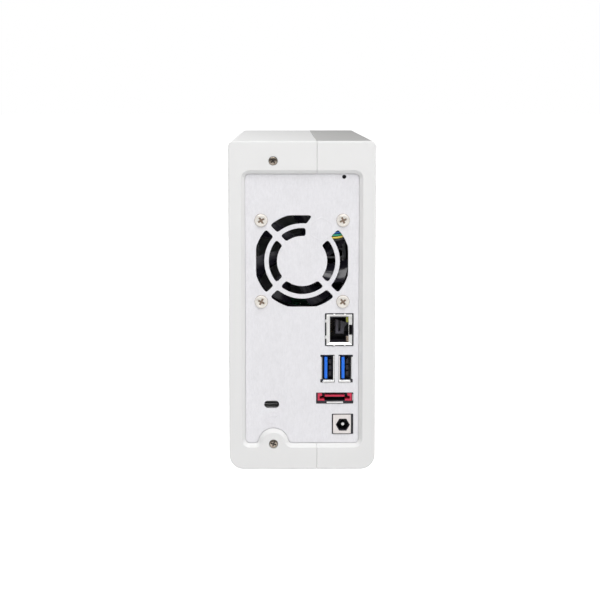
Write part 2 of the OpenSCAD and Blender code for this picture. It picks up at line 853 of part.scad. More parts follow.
module drive_grommets() color(BLACK) {
    for (y = drive_hole_ys, z = [drive_low_z - grommet_h, drive_high_z])
        translate([drive_hole_x, y, z]) difference() {
            cylinder(r = 5, h = grommet_h);
            translate([0, 0, -cut]) cylinder(r = 1.9, h = grommet_h + 2 * cut);
        }
}

module drive_screws() color(STEEL) {
    for (y = drive_hole_ys, side = [0, 1])
        translate([drive_hole_x, y, side * drive_w + drive_low_z]) rotate([180 * (1 - side), 0, 0]) {
            difference() {
                translate([0, 0, grommet_h + bracket_t]) cylinder(r = 3.6, h = 1.8);
                translate([0, 0, grommet_h + bracket_t + 1.8]) rotate([180, 0, 0]) cross_recess(3.6, 1);
            }
            translate([0, 0, -5]) cylinder(r = 1.55, h = grommet_h + bracket_t + 5.1);
        }
}

// Hard drive

module drive_casting() color([0.6, 0.6, 0.62]) {
    difference() {
        along_x(drive_x, lid_x) rounded_outline(
            [drive_front_y, drive_rear_y], [drive_low_z, drive_high_z], 3, 3);
        box(
            [drive_x - 1, drive_x + 1.8], [drive_rear_y - 120, drive_rear_y + 1],
            [drive_low_z + 5, drive_high_z - 5]);
        box(
            [drive_x - 1, drive_x + 4.6], [drive_rear_y - 9, drive_rear_y + 1],
            [sata_z[0] - 0.5, sata_z[1] + 0.5]);
        for (y = drive_hole_ys, z = [drive_low_z - 1, drive_high_z - 6])
            translate([drive_hole_x, y, z]) cylinder(r = drive_hole_r, h = 7);
    }
}

module drive_lid() color([0.78, 0.78, 0.8]) {
    difference() {
        along_x(lid_x, lid_x + 0.6) rounded_outline(
            [drive_front_y + 2, drive_rear_y - 2], [drive_low_z + 2, drive_high_z - 2], 4, 4);
        for (at = lid_screws()) rod_x([lid_x - cut, at[0], at[1]], 1.2, 3);
    }
}

// Places of the lid's screws along the two long sides
function lid_screws() = [
    for (y = [drive_front_y + 8, (drive_front_y + drive_rear_y) / 2, drive_rear_y - 8],
         z = [drive_low_z + 6, drive_high_z - 6]) [y, z]
];

module drive_lid_screws() color(STEEL) {
    for (at = lid_screws()) difference() {
        union() {
            rod_x([lid_x + 0.6, at[0], at[1]], 2.3, 0.6);
            rod_x([lid_x, at[0], at[1]], 1.1, 0.7);
        }
        rod_x([lid_x + 0.8, at[0], at[1]], 1, 1);
    }
}

module drive_circuit_board() color(BOARD) {
    difference() {
        box(
            [drive_x + 0.2, drive_x + 1.4], [drive_rear_y - 116, drive_rear_y - 9.2],
            [drive_low_z + 8, drive_high_z - 8]);
        for (y = [-46, 40], z = [drive_low_z + 12, drive_high_z - 12]) rod_x([drive_x - 1, y, z], 1.5, 4);
        rod_x([drive_x - 1, -20, (drive_low_z + drive_high_z) / 2], 12, 4);
    }
}

module drive_plug() color(BLACK) {
    box([drive_x + 0.2, drive_x + 4.4], [drive_rear_y - 8.8, drive_rear_y - 4], [sata_z[0], sata_z[1]]);
    box(
        [drive_x + 1.2, drive_x + 2.6], [drive_rear_y - 4.1, drive_rear_y + 0.2],
        [sata_z[0] + 2, sata_z[1] - 2]);
}

base_shell();
side_panel();
front_bezel();
front_strip();
light_pipes();
front_board();
indicator_leds();
power_switch();
front_cable();
rear_plate();
plate_screws();
fan_frame();
fan_stator();
fan_bearing();
fan_screws();
fan_wire_black();
fan_wire_yellow();
fan_wire_green();
fan_wire_blue();
fan_plug();
fan_header();
mainboard();
board_screws();
heatsink();
board_chips();
capacitors();
inductors();
clock_battery();
rj45_shield();
rj45_insert();
rj45_contacts();
rj45_leds();
usb_shield();
usb_insulator();
esata_shield();
esata_insert();
dc_jack_body();
dc_jack_pin();
reset_switch();
riser_slot();
drive_board();
sata_socket();
drive_bracket();
bracket_posts();
bracket_screws();
drive_grommets();
drive_screws();
drive_casting();
drive_lid();
drive_lid_screws();
drive_circuit_board();
drive_plug();
base_feet();
cover();
cover_screws();
cover_feet();
fan_rotor();
fan_shaft();
power_button();
reset_plunger();
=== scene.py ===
"""Looks of a single-bay network attached storage unit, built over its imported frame.

The unit stands on the XY plane. Its sockets face +Y, its front faces -Y and the large side of
its sliding cover faces +X. Sizes here are in millimetres, and meshes are written in metres.
"""

import json
import logging
import math
from dataclasses import dataclass, field
from enum import Enum
from typing import Any, Optional, Sequence, Union

import bmesh
import bpy
from mathutils import Matrix, Vector

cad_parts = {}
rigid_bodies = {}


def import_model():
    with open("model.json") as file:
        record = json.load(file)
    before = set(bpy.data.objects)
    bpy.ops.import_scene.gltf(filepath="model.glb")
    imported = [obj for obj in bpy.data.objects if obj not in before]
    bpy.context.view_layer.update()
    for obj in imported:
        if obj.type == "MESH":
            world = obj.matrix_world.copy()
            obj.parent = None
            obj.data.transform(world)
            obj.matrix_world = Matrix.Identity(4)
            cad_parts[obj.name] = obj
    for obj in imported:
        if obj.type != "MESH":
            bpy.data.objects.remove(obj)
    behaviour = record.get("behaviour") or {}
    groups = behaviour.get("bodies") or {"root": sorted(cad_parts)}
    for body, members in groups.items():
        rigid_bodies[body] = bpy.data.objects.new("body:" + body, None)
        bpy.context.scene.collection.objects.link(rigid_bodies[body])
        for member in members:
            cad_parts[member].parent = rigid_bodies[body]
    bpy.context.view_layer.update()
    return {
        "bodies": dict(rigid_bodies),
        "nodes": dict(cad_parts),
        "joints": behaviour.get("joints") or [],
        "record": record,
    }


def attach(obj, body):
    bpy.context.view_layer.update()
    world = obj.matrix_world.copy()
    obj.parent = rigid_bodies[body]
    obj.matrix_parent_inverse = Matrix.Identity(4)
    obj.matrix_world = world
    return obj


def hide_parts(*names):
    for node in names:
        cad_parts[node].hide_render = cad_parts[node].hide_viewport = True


log = logging.getLogger("storage_unit")

MM = 0.001
Flat = tuple[float, float]
Span = tuple[float, float]
Colour = tuple[float, float, float]
Place = tuple[float, float, float]
Taper = tuple[float, float]

# Faces that meet below this angle shade as one, and edges above the other are rounded
SMOOTH_ANGLE = 35.0
EDGE_ANGLE = 38.0

# Places that several sub-assemblies share
REAR_Y = 112.25
PLATE_Y = 109.75
FAN_Z = 106.75
BOARD_X = -25.2
BUTTON_Z = 30.0
INDICATOR_ZS = (108, 118, 128, 138)
FAN_SCREWS = [(x, FAN_Z + z) for x in (-20, 20) for z in (-20, 20)]
COVER_SCREW_X = 14.1
COVER_SCREW_ZS = (16.2, 155.8)
BOARD_SCREWS = ((-22, 20), (-22, 144), (86, 142), (72, 20))
FLANGE_SCREWS = ((103.75, 23.5), (103.75, 141.5))
BRACKET_SCREWS = ((-89, 58), (-89, 106))

# Limits across and up of the plate's cut-outs
NETWORK_CUT = ((-25.3, -11.2), (64.7, 81.0))
STORAGE_CUT = ((-25.3, -6.9), (35.9, 41.5))
POWER_CUT = ((-25.3, -14.7), (20.65, 30.85))
BUS_CUT_Z = (46.5, 60.35)


class Axis(Enum):
    """The direction that a shape is drawn out or turned along."""

    X = "x"
    Y = "y"
    Z = "z"

    def matrix(self) -> Matrix:
        """Returns the turn from a drawing in local XY, drawn out along local Z, to this axis."""
        turns = {
            Axis.X: Matrix(((0, 0, 1), (1, 0, 0), (0, 1, 0))),
            Axis.Y: Matrix(((1, 0, 0), (0, 0, -1), (0, 1, 0))),
            Axis.Z: Matrix.Identity(3),
        }
        return turns[self].to_4x4()

    def lay(self, flat: Flat, level: float) -> Place:
        """Puts a point of the plane across this axis at a level along it."""
        places = {
            Axis.X: (level, flat[0], flat[1]), Axis.Y: (flat[0], level, flat[1]),
            Axis.Z: (flat[0], flat[1], level)}
        return places[self]


# ---------------------------------------------------------------------------------------------
# Shader maths
# ---------------------------------------------------------------------------------------------


class Value:
    """A number socket of a node tree that takes part in Python arithmetic."""

    def __init__(self, graph: "Graph", socket: bpy.types.NodeSocket) -> None:
        """Wraps one output socket.

        Args:
            graph: the node tree that the socket belongs to.
            socket: the output socket.
        """
        self.graph = graph
        self.socket = socket

    def _math(self, operation: str, first: Any, second: Any = 0.0) -> "Value":
        """Adds a Math node.

        Args:
            operation: the Math node's operation.
            first: its first value.
            second: its second value.

        Returns:
            The node's result.
        """
        node = self.graph.node("ShaderNodeMath", {"operation": operation}, {0: first, 1: second})
        return Value(self.graph, node.outputs[0])

    def __add__(self, other: Any) -> "Value":
        """Adds another number or value."""
        return self._math("ADD", self, other)

    def __radd__(self, other: Any) -> "Value":
        """Adds itself to a number."""
        return self._math("ADD", other, self)

    def __sub__(self, other: Any) -> "Value":
        """Takes another number or value away."""
        return self._math("SUBTRACT", self, other)

    def __rsub__(self, other: Any) -> "Value":
        """Is taken away from a number."""
        return self._math("SUBTRACT", other, self)

    def __mul__(self, other: Any) -> "Value":
        """Multiplies by another number or value."""
        return self._math("MULTIPLY", self, other)

    def above(self, edge: float) -> "Value":
        """Returns 1 where the value is greater than an edge, and 0 elsewhere."""
        return self._math("GREATER_THAN", self, edge)

    def capped(self) -> "Value":
        """Returns the value held between 0 and 1."""
        return self._math("MINIMUM", self._math("MAXIMUM", self, 0.0), 1.0)


class Graph:
    """The node tree of one material, built by calls that name types, settings and sockets."""

    def __init__(self, name: str) -> None:
        """Starts an empty material.

        Args:
            name: the material's name.
        """
        self.material = bpy.data.materials.new(name)
        self.material.use_nodes = True
        self.tree = self.material.node_tree
        self.tree.nodes.clear()

    def node(self, kind: str, settings: dict[str, Any], sockets: dict[Union[int, str], Any]) -> Any:
        """Adds one node.

        Args:
            kind: the node's type.
            settings: its settings.
            sockets: values or links of its inputs, by name or index.

        Returns:
            The node.
        """
        node = self.tree.nodes.new(kind)
        for key, value in settings.items():
            setattr(node, key, value)
        for key, value in sockets.items():
            self.plug(node.inputs[key], value)
        return node

    def plug(self, socket: bpy.types.NodeSocket, value: Any) -> None:
        """Links a value to an input, or sets it.

        Args:
            socket: the input.
            value: a Value, an output socket, a number or a tuple.
        """
        if isinstance(value, Value):
            self.tree.links.new(value.socket, socket)
        elif isinstance(value, bpy.types.NodeSocket):
            self.tree.links.new(value, socket)
        elif socket.type == "RGBA" and len(value) == 3:
            socket.default_value = (*value, 1.0)
        else:
            socket.default_value = value

    def place(self, stretch: Sequence[float] = (1.0, 1.0, 1.0)) -> bpy.types.NodeSocket:
        """Returns Object coordinates, stretched along each axis.

        Args:
            stretch: the factor along X, Y and Z.

        Returns:
            The vector socket.
        """
        coords = self.node("ShaderNodeTexCoord", {}, {})
        mapping = self.node("ShaderNodeMapping", {}, {"Vector": coords.outputs["Object"]})
        mapping.inputs["Scale"].default_value = stretch
        return mapping.outputs["Vector"]

    def noise(self, scale: float, detail: float = 2.0, stretch: Sequence[float] = (1, 1, 1)) -> Value:
        """Returns noise from 0 to 1.

        Args:
            scale: cells per metre.
            detail: how many finer layers it has.
            stretch: the factor along X, Y and Z.

        Returns:
            The noise value.
        """
        node = self.node(
            "ShaderNodeTexNoise", {}, {"Scale": scale, "Detail": detail, "Vector": self.place(stretch)})
        return Value(self, node.outputs["Fac"])

    def blend(self, factor: Any, first: Any, second: Any) -> bpy.types.NodeSocket:
        """Mixes two colours.

        Args:
            factor: 0 gives the first colour and 1 the second.
            first: a colour or a socket.
            second: a colour or a socket.

        Returns:
            The mixed colour's socket.
        """
        node = self.node("ShaderNodeMix", {"data_type": "RGBA"}, {0: factor, 6: first, 7: second})
        return node.outputs[2]

    def relief(self, height: Value, depth_mm: float, strength: float = 1.0) -> bpy.types.NodeSocket:
        """Turns a height into a normal.

        Args:
            height: the height from 0 to 1.
            depth_mm: how deep the relief is.
            strength: how much of it shows.

        Returns:
            The normal's socket.
        """
        node = self.node(
            "ShaderNodeBump", {}, {"Height": height, "Distance": depth_mm * MM, "Strength": strength})
        return node.outputs["Normal"]

    def surface(self, sockets: dict[str, Any]) -> bpy.types.Material:
        """Ends the tree in one Principled surface.

        Args:
            sockets: its inputs by name.

        Returns:
            The finished material.
        """
        shader = self.node("ShaderNodeBsdfPrincipled", {}, sockets)
        self.node("ShaderNodeOutputMaterial", {}, {"Surface": shader.outputs[0]})
        return self.material


def shade(colour: Colour, factor: float) -> Colour:
    """Returns a colour made darker or lighter.

    Args:
        colour: the colour.
        factor: what each channel is multiplied by.

    Returns:
        The changed colour, held below 1.
    """
    return tuple(min(1.0, channel * factor) for channel in colour)


# ---------------------------------------------------------------------------------------------
# Finishes
# ---------------------------------------------------------------------------------------------


@dataclass(frozen=True)
class Finish:
    """What all finishes share: a name, the record's slot and a base colour."""

    slot: str
    colour: Colour
    roughness: float
    variant: str = ""

    def material(self) -> bpy.types.Material:
        """Returns the finish's material, made once."""
        name = f"finish_{self.slot}{self.variant}"
        return bpy.data.materials.get(name) or self.make(Graph(name))

    def make(self, graph: Graph) -> bpy.types.Material:
        """Builds the material's nodes.

        Args:
            graph: an empty node tree.

        Returns:
            The material.
        """
        raise NotImplementedError


@dataclass(frozen=True)
class Moulded(Finish):
    """Injection-moulded plastic with a spark-eroded grain and slight unevenness."""

    grain_mm: float = 0.35
    depth_mm: float = 0.02
    mottle: float = 0.03

    def make(self, graph: Graph) -> bpy.types.Material:
        """Builds the plastic: fine grain, faint flow marks and worn patches."""
        grain = graph.noise(1.0 / (self.grain_mm * MM), 3.0)
        broad = graph.noise(34.0, 3.0)
        smudge = graph.noise(160.0, 4.0)
        tone = (broad * 0.6 + grain * 0.4 - 0.5) * (self.mottle * 8.0) + 0.5
        colour = graph.blend(
            tone.capped(), shade(self.colour, 1.0 - self.mottle), shade(self.colour, 1.0 + self.mottle))
        rough = (smudge - 0.5) * 0.16 + self.roughness
        return graph.surface({
            "Base Color": colour,
            "Roughness": rough,
            "Normal": graph.relief(grain, self.depth_mm, 0.5),
        })


@dataclass(frozen=True)
class SheetSteel(Finish):
    """Zinc-coated sheet with rolling grain along Z and faint crystal mottling."""

    metal: float = 0.6
    streak: float = 0.12
    depth_mm: float = 0.03

    def make(self, graph: Graph) -> bpy.types.Material:
        """Builds the sheet: fine streaks, speckle, spangle and dull patches."""
        streaks = graph.noise(1500.0, 3.0, (1.0, 1.0, 0.34))
        speckle = graph.noise(2600.0, 2.0)
        spangle = graph.node(
            "ShaderNodeTexVoronoi", {}, {"Scale": 330.0, "Vector": graph.place((1.0, 1.0, 0.6))})
        crystal = Value(graph, spangle.outputs["Distance"])
        patches = graph.noise(60.0, 4.0)
        tone = (streaks - 0.5) * 1.1 + (speckle - 0.5) * 0.6 + (crystal - 0.4) * 0.22 + (patches - 0.5) * 0.3
        colour = graph.blend(
            (tone + 0.5).capped(),
            shade(self.colour, 1.0 - self.streak), shade(self.colour, 1.0 + self.streak))
        rough = (streaks - 0.5) * 0.18 + (patches - 0.5) * 0.12 + self.roughness
        return graph.surface({
            "Base Color": colour,
            "Metallic": self.metal,
            "Roughness": rough,
            "Normal": graph.relief(streaks + speckle * 0.5, self.depth_mm, 0.3),
        })


@dataclass(frozen=True)
class Plated(Finish):
    """Plated or turned metal with fine scratches and a slight tarnish."""

    tarnish: Colour = (0.45, 0.42, 0.36)
    scratch: float = 0.25
    metal: float = 1.0

    def make(self, graph: Graph) -> bpy.types.Material:
        """Builds the metal: brushed scratches and tarnished hollows."""
        scratches = graph.noise(5200.0, 3.0, (0.2, 1.0, 1.0))
        dull = graph.noise(420.0, 4.0)
        mask = ((dull - 0.52) * 3.0).capped()
        colour = graph.blend(mask * 0.5, self.colour, self.tarnish)
        rough = (scratches - 0.5) * self.scratch + mask * 0.16 + self.roughness
        return graph.surface({
            "Base Color": colour,
            "Metallic": self.metal,
            "Roughness": rough,
            "Normal": graph.relief(scratches, 0.01, 0.3),
        })


@dataclass(frozen=True)
class Laminate(Finish):
    """A circuit board: solder mask over copper tracks, with tinned pads and vias."""

    track: Colour = (0.10, 0.42, 0.22)
    pad: Colour = (0.72, 0.72, 0.70)

    def make(self, graph: Graph) -> bpy.types.Material:
        """Builds the board: raised tracks on a grid and rows of small bright pads."""
        grid = graph.node(
            "ShaderNodeTexVoronoi", {"distance": "MANHATTAN", "feature": "F1"},
            {"Scale": 240.0, "Randomness": 0.25, "Vector": graph.place()})
        cells = Value(graph, grid.outputs["Distance"])
        tracks = graph.noise(150.0, 0.0, (1.0, 1.0, 3.5)) * 9.0
        lines = Value(graph, graph.node(
            "ShaderNodeMath", {"operation": "FRACT"}, {0: tracks}).outputs[0]).above(0.55)
        pads = 1.0 - (cells * 5.0).capped()
        mask = pads.above(0.35)
        base = graph.blend(lines * 0.5, self.colour, self.track)
        colour = graph.blend(mask, base, self.pad)
        return graph.surface({
            "Base Color": colour,
            "Metallic": mask * 0.9,
            "Roughness": self.roughness + mask * 0.1,
            "Normal": graph.relief(lines, 0.03, 0.5),
        })


@dataclass(frozen=True)
class Clear(Finish):
    """Clear or tinted resin that lets some light through."""

    through: float = 0.6
    low_colour: Optional[Colour] = None
    split_z: float = 73.0

    def make(self, graph: Graph) -> bpy.types.Material:
        """Builds the resin with faint moulding streaks and, if given, another colour low down."""
        flow = graph.noise(700.0, 2.0)
        colour = graph.blend(flow, shade(self.colour, 0.85), self.colour)
        if self.low_colour:
            parts = graph.node("ShaderNodeSeparateXYZ", {}, {0: graph.place()})
            high = Value(graph, parts.outputs["Z"]).above(self.split_z * MM)
            spots = (graph.noise(1500.0, 1.0) * 3.0 - 1.2).capped()
            low = graph.blend(spots, shade(self.low_colour, 0.25), self.low_colour)
            colour = graph.blend(high, low, colour)
        return graph.surface({
            "Base Color": colour,
            "Roughness": (flow - 0.5) * 0.1 + self.roughness,
            "Transmission Weight": self.through,
            "IOR": 1.49,
        })


@dataclass(frozen=True)
class Rubber(Finish):
    """Soft black rubber with dust in its grain."""

    dust: Colour = (0.20, 0.19, 0.18)

    def make(self, graph: Graph) -> bpy.types.Material:
        """Builds the rubber: coarse grain and pale dust in its hollows."""
        grain = graph.noise(3200.0, 4.0)
        dusty = graph.noise(240.0, 4.0)
        mask = ((dusty - 0.5) * 2.4).capped()
        return graph.surface({
            "Base Color": graph.blend(mask * 0.4, self.colour, self.dust),
            "Roughness": self.roughness + mask * 0.08,
            "Normal": graph.relief(grain, 0.06, 0.6),
        })


@dataclass(frozen=True)
class Winding(Finish):
    """Enamelled copper wire wound around a core."""

    # the dark colour between the turns is painted shade
    gap: Colour = (0.12, 0.04, 0.02)

    def make(self, graph: Graph) -> bpy.types.Material:
        """Builds the winding: parallel turns with painted shade in the gaps between them."""
        wave = graph.node(
            "ShaderNodeTexWave", {"bands_direction": "Y"},
            {"Scale": 900.0, "Distortion": 0.6, "Vector": graph.place()})
        turns = Value(graph, wave.outputs["Fac"])
        return graph.surface({
            "Base Color": graph.blend(turns, self.gap, self.colour),
            "Metallic": 0.7,
            "Roughness": self.roughness - turns * 0.1,
            "Normal": graph.relief(turns, 0.15, 0.8),
        })


class Palette:
    """Every finish of the unit, by the record's slot name."""

    light = Moulded("light_plastic", (0.818, 0.816, 0.812), 0.5, grain_mm=0.3, depth_mm=0.012, mottle=0.018)
    grey = Moulded("grey_plastic", (0.52, 0.517, 0.507), 0.42, grain_mm=0.3, depth_mm=0.012, mottle=0.02)
    clear = Clear("clear_plastic", (0.86, 0.92, 0.88), 0.15, through=0.7)
    board = Laminate("board_green", (0.012, 0.10, 0.045), 0.35)
    resin = Clear("led_resin", (0.34, 0.36, 0.06), 0.2, through=0.2, low_colour=(0.70, 0.55, 0.42))
    black = Moulded("black_plastic", (0.021, 0.019, 0.027), 0.36)
    smoke = Moulded("black_plastic", (0.065, 0.06, 0.08), 0.3, variant="_smoke")
    fan = Moulded("fan_plastic", (0.022, 0.020, 0.031), 0.2, grain_mm=0.8, depth_mm=0.006)
    film = Moulded("flat_cable", (0.66, 0.66, 0.62), 0.35)
    steel = SheetSteel("galvanised_steel", (0.885, 0.877, 0.905), 0.5, metal=0.35, streak=0.07)
    zinc = Plated("zinc_screw", (0.66, 0.67, 0.69), 0.3)
    dark_zinc = Plated("zinc_screw", (0.50, 0.43, 0.36), 0.2, tarnish=(0.2, 0.16, 0.12), variant="_dark")
    # dark fill for the cover screws' recesses and the rings around their heads: painted shade and painted
    # contact shadow
    zinc_pit = Moulded("zinc_screw", (0.035, 0.028, 0.022), 0.5, variant="_painted_shade")
    nickel = Plated("nickel_screw", (0.93, 0.89, 0.83), 0.36, tarnish=(0.8, 0.74, 0.66), metal=0.4)
    # dark fill for the fan screws' recesses and the rings around their heads: painted shade and painted
    # contact shadow
    nickel_pit = Moulded("nickel_screw", (0.24, 0.175, 0.13), 0.45, variant="_painted_shade")
    winding = Winding("copper_winding", (0.48, 0.17, 0.06), 0.45)
    bronze = Plated("bearing_bronze", (0.45, 0.30, 0.14), 0.4)
    bright = Plated("bright_steel", (0.88, 0.88, 0.87), 0.25)
    wire_black = Moulded("wire_black", (0.015, 0.015, 0.015), 0.35, grain_mm=1.2)
    wire_yellow = Moulded("wire_yellow", (0.86, 0.66, 0.10), 0.3, grain_mm=1.2)
    wire_green = Moulded("wire_green", (0.03, 0.42, 0.26), 0.3, grain_mm=1.2)
    wire_blue = Moulded("wire_blue", (0.03, 0.19, 0.60), 0.3, grain_mm=1.2)
    white = Moulded("white_plastic", (0.70, 0.69, 0.64), 0.4)
    sink = SheetSteel("heatsink_aluminium", (0.62, 0.63, 0.65), 0.38, metal=0.9)
    epoxy = Moulded("chip_epoxy", (0.022, 0.022, 0.025), 0.55, depth_mm=0.03)
    sleeve = Moulded("capacitor_sleeve", (0.02, 0.025, 0.05), 0.25)
    ferrite = Moulded("ferrite", (0.05, 0.05, 0.055), 0.6, depth_mm=0.05)
    cell = Plated("battery_steel", (0.66, 0.66, 0.65), 0.32)
    tin = Plated("tin_plate", (0.90, 0.895, 0.885), 0.3, scratch=0.15, metal=0.5)
    gold = Plated("gold_plate", (0.83, 0.58, 0.20), 0.22)
    blue = Moulded("blue_plastic", (0.008, 0.17, 0.84), 0.28)
    red = Moulded("red_plastic", (0.66, 0.034, 0.085), 0.3)
    cream = Moulded("cream_plastic", (0.82, 0.77, 0.75), 0.42)
    brass = Plated("post_brass", (0.72, 0.50, 0.18), 0.3)
    rubber = Rubber("rubber", (0.016, 0.016, 0.016), 0.72)
    casting = SheetSteel("cast_aluminium", (0.36, 0.37, 0.38), 0.5, metal=0.7, depth_mm=0.06)
    lid = SheetSteel("lid_steel", (0.66, 0.67, 0.68), 0.3, metal=0.9)
    button = Moulded("button_plastic", (0.55, 0.55, 0.54), 0.35)

    @classmethod
    def by_slot(cls, slot: str) -> Finish:
        """Returns the finish that belongs to a slot of the record."""
        finishes = [value for value in vars(cls).values() if isinstance(value, Finish)]
        return next(finish for finish in finishes if finish.slot == slot)


# ---------------------------------------------------------------------------------------------
# Outlines, in millimetres
# ---------------------------------------------------------------------------------------------


def arc(centre: Flat, radius: float, start: float, end: float, steps: int) -> list[Flat]:
    """Returns points along an arc.

    Args:
        centre: its centre.
        radius: its radius.
        start: its first angle, in degrees.
        end: its last angle, in degrees.
        steps: how many stretches it has.

    Returns:
        The points, both ends included.
    """
    angles = [math.radians(start + (end - start) * i / steps) for i in range(steps + 1)]
    return [(centre[0] + radius * math.cos(a), centre[1] + radius * math.sin(a)) for a in angles]


def rectangle(x: Span, z: Span, low_r: float, high_r: Optional[float] = None, steps: int = 6) -> list[Flat]:
    """Returns a rectangle with round corners, anticlockwise.

    Args:
        x: its limits across.
        z: its limits up.
        low_r: the radius of its lower corners.
        high_r: the radius of its upper corners, or None for the same.
        steps: how many stretches a corner has.

    Returns:
        The points.
    """
    top = low_r if high_r is None else high_r
    return (
        arc((x[1] - low_r, z[0] + low_r), low_r, -90, 0, steps)
        + arc((x[1] - top, z[1] - top), top, 0, 90, steps)
        + arc((x[0] + top, z[1] - top), top, 90, 180, steps)
        + arc((x[0] + low_r, z[0] + low_r), low_r, 180, 270, steps)
    )


def circle(centre: Flat, radius: float, steps: int = 32) -> list[Flat]:
    """Returns a circle, anticlockwise."""
    return arc(centre, radius, 0, 360, steps)[:-1]


def rounded(points: Sequence[Flat], radius: float, steps: int = 4, least_turn: float = 25.0) -> list[Flat]:
    """Rounds the sharp corners of an outline, also where short stretches meet.

    Args:
        points: the outline.
        radius: the corners' radius.
        steps: how many stretches a corner has.
        least_turn: corners that turn by less than this, in degrees, stay.

    Returns:
        The rounded outline.
    """
    path = [Vector(p) for p in points]
    count = len(path)

    def walk(start: int, way: int, reach: float) -> tuple[Vector, int]:
        """Returns the point a distance along the outline, and how many points it passes."""
        here, left = start, reach
        for skipped in range(count):
            ahead = path[(here + way) % count]
            length = (ahead - path[here]).length
            if length >= left:
                return path[here].lerp(ahead, left / length), skipped
            left -= length
            here = (here + way) % count
        raise ValueError("the outline is shorter than its corner")

    dropped: set[int] = set()
    corners: dict[int, list[Flat]] = {}
    for i, here in enumerate(path):
        back, ahead = path[i - 1] - here, path[(i + 1) % count] - here
        turn = 180.0 - math.degrees(back.angle(ahead))
        if turn < least_turn:
            continue
        reach = radius * math.tan(math.radians(min(turn, 120.0) / 2))
        start, before = walk(i, -1, reach)
        end, after = walk(i, 1, reach)
        dropped.update((i - k) % count for k in range(before + 1))
        dropped.update((i + k) % count for k in range(after + 1))
        bends = [
            start * (1 - t) ** 2 + here * (2 * t * (1 - t)) + end * t ** 2
            for t in (k / steps for k in range(steps + 1))]
        corners[i] = [(bend.x, bend.y) for bend in bends]
    result: list[Flat] = []
    for i, point in enumerate(points):
        result += corners.get(i, [] if i in dropped else [point])
    return result


def shifted(points: Sequence[Flat], by: Flat) -> list[Flat]:
    """Returns an outline moved by a distance."""
    return [(p[0] + by[0], p[1] + by[1]) for p in points]


# ---------------------------------------------------------------------------------------------
# Mesh making
# ---------------------------------------------------------------------------------------------


def linked(name: str, data: Any) -> bpy.types.Object:
    """Returns a new object of the scene that shows some data."""
    obj = bpy.data.objects.new(name, data)
    bpy.context.scene.collection.objects.link(obj)
    return obj


def at_depths(rings: Sequence[tuple[Sequence[Flat], float]]) -> list[list[Place]]:
    """Returns outlines across Y as rings, each at its own depth."""
    return [[(p[0], y, p[1]) for p in points] for points, y in rings]


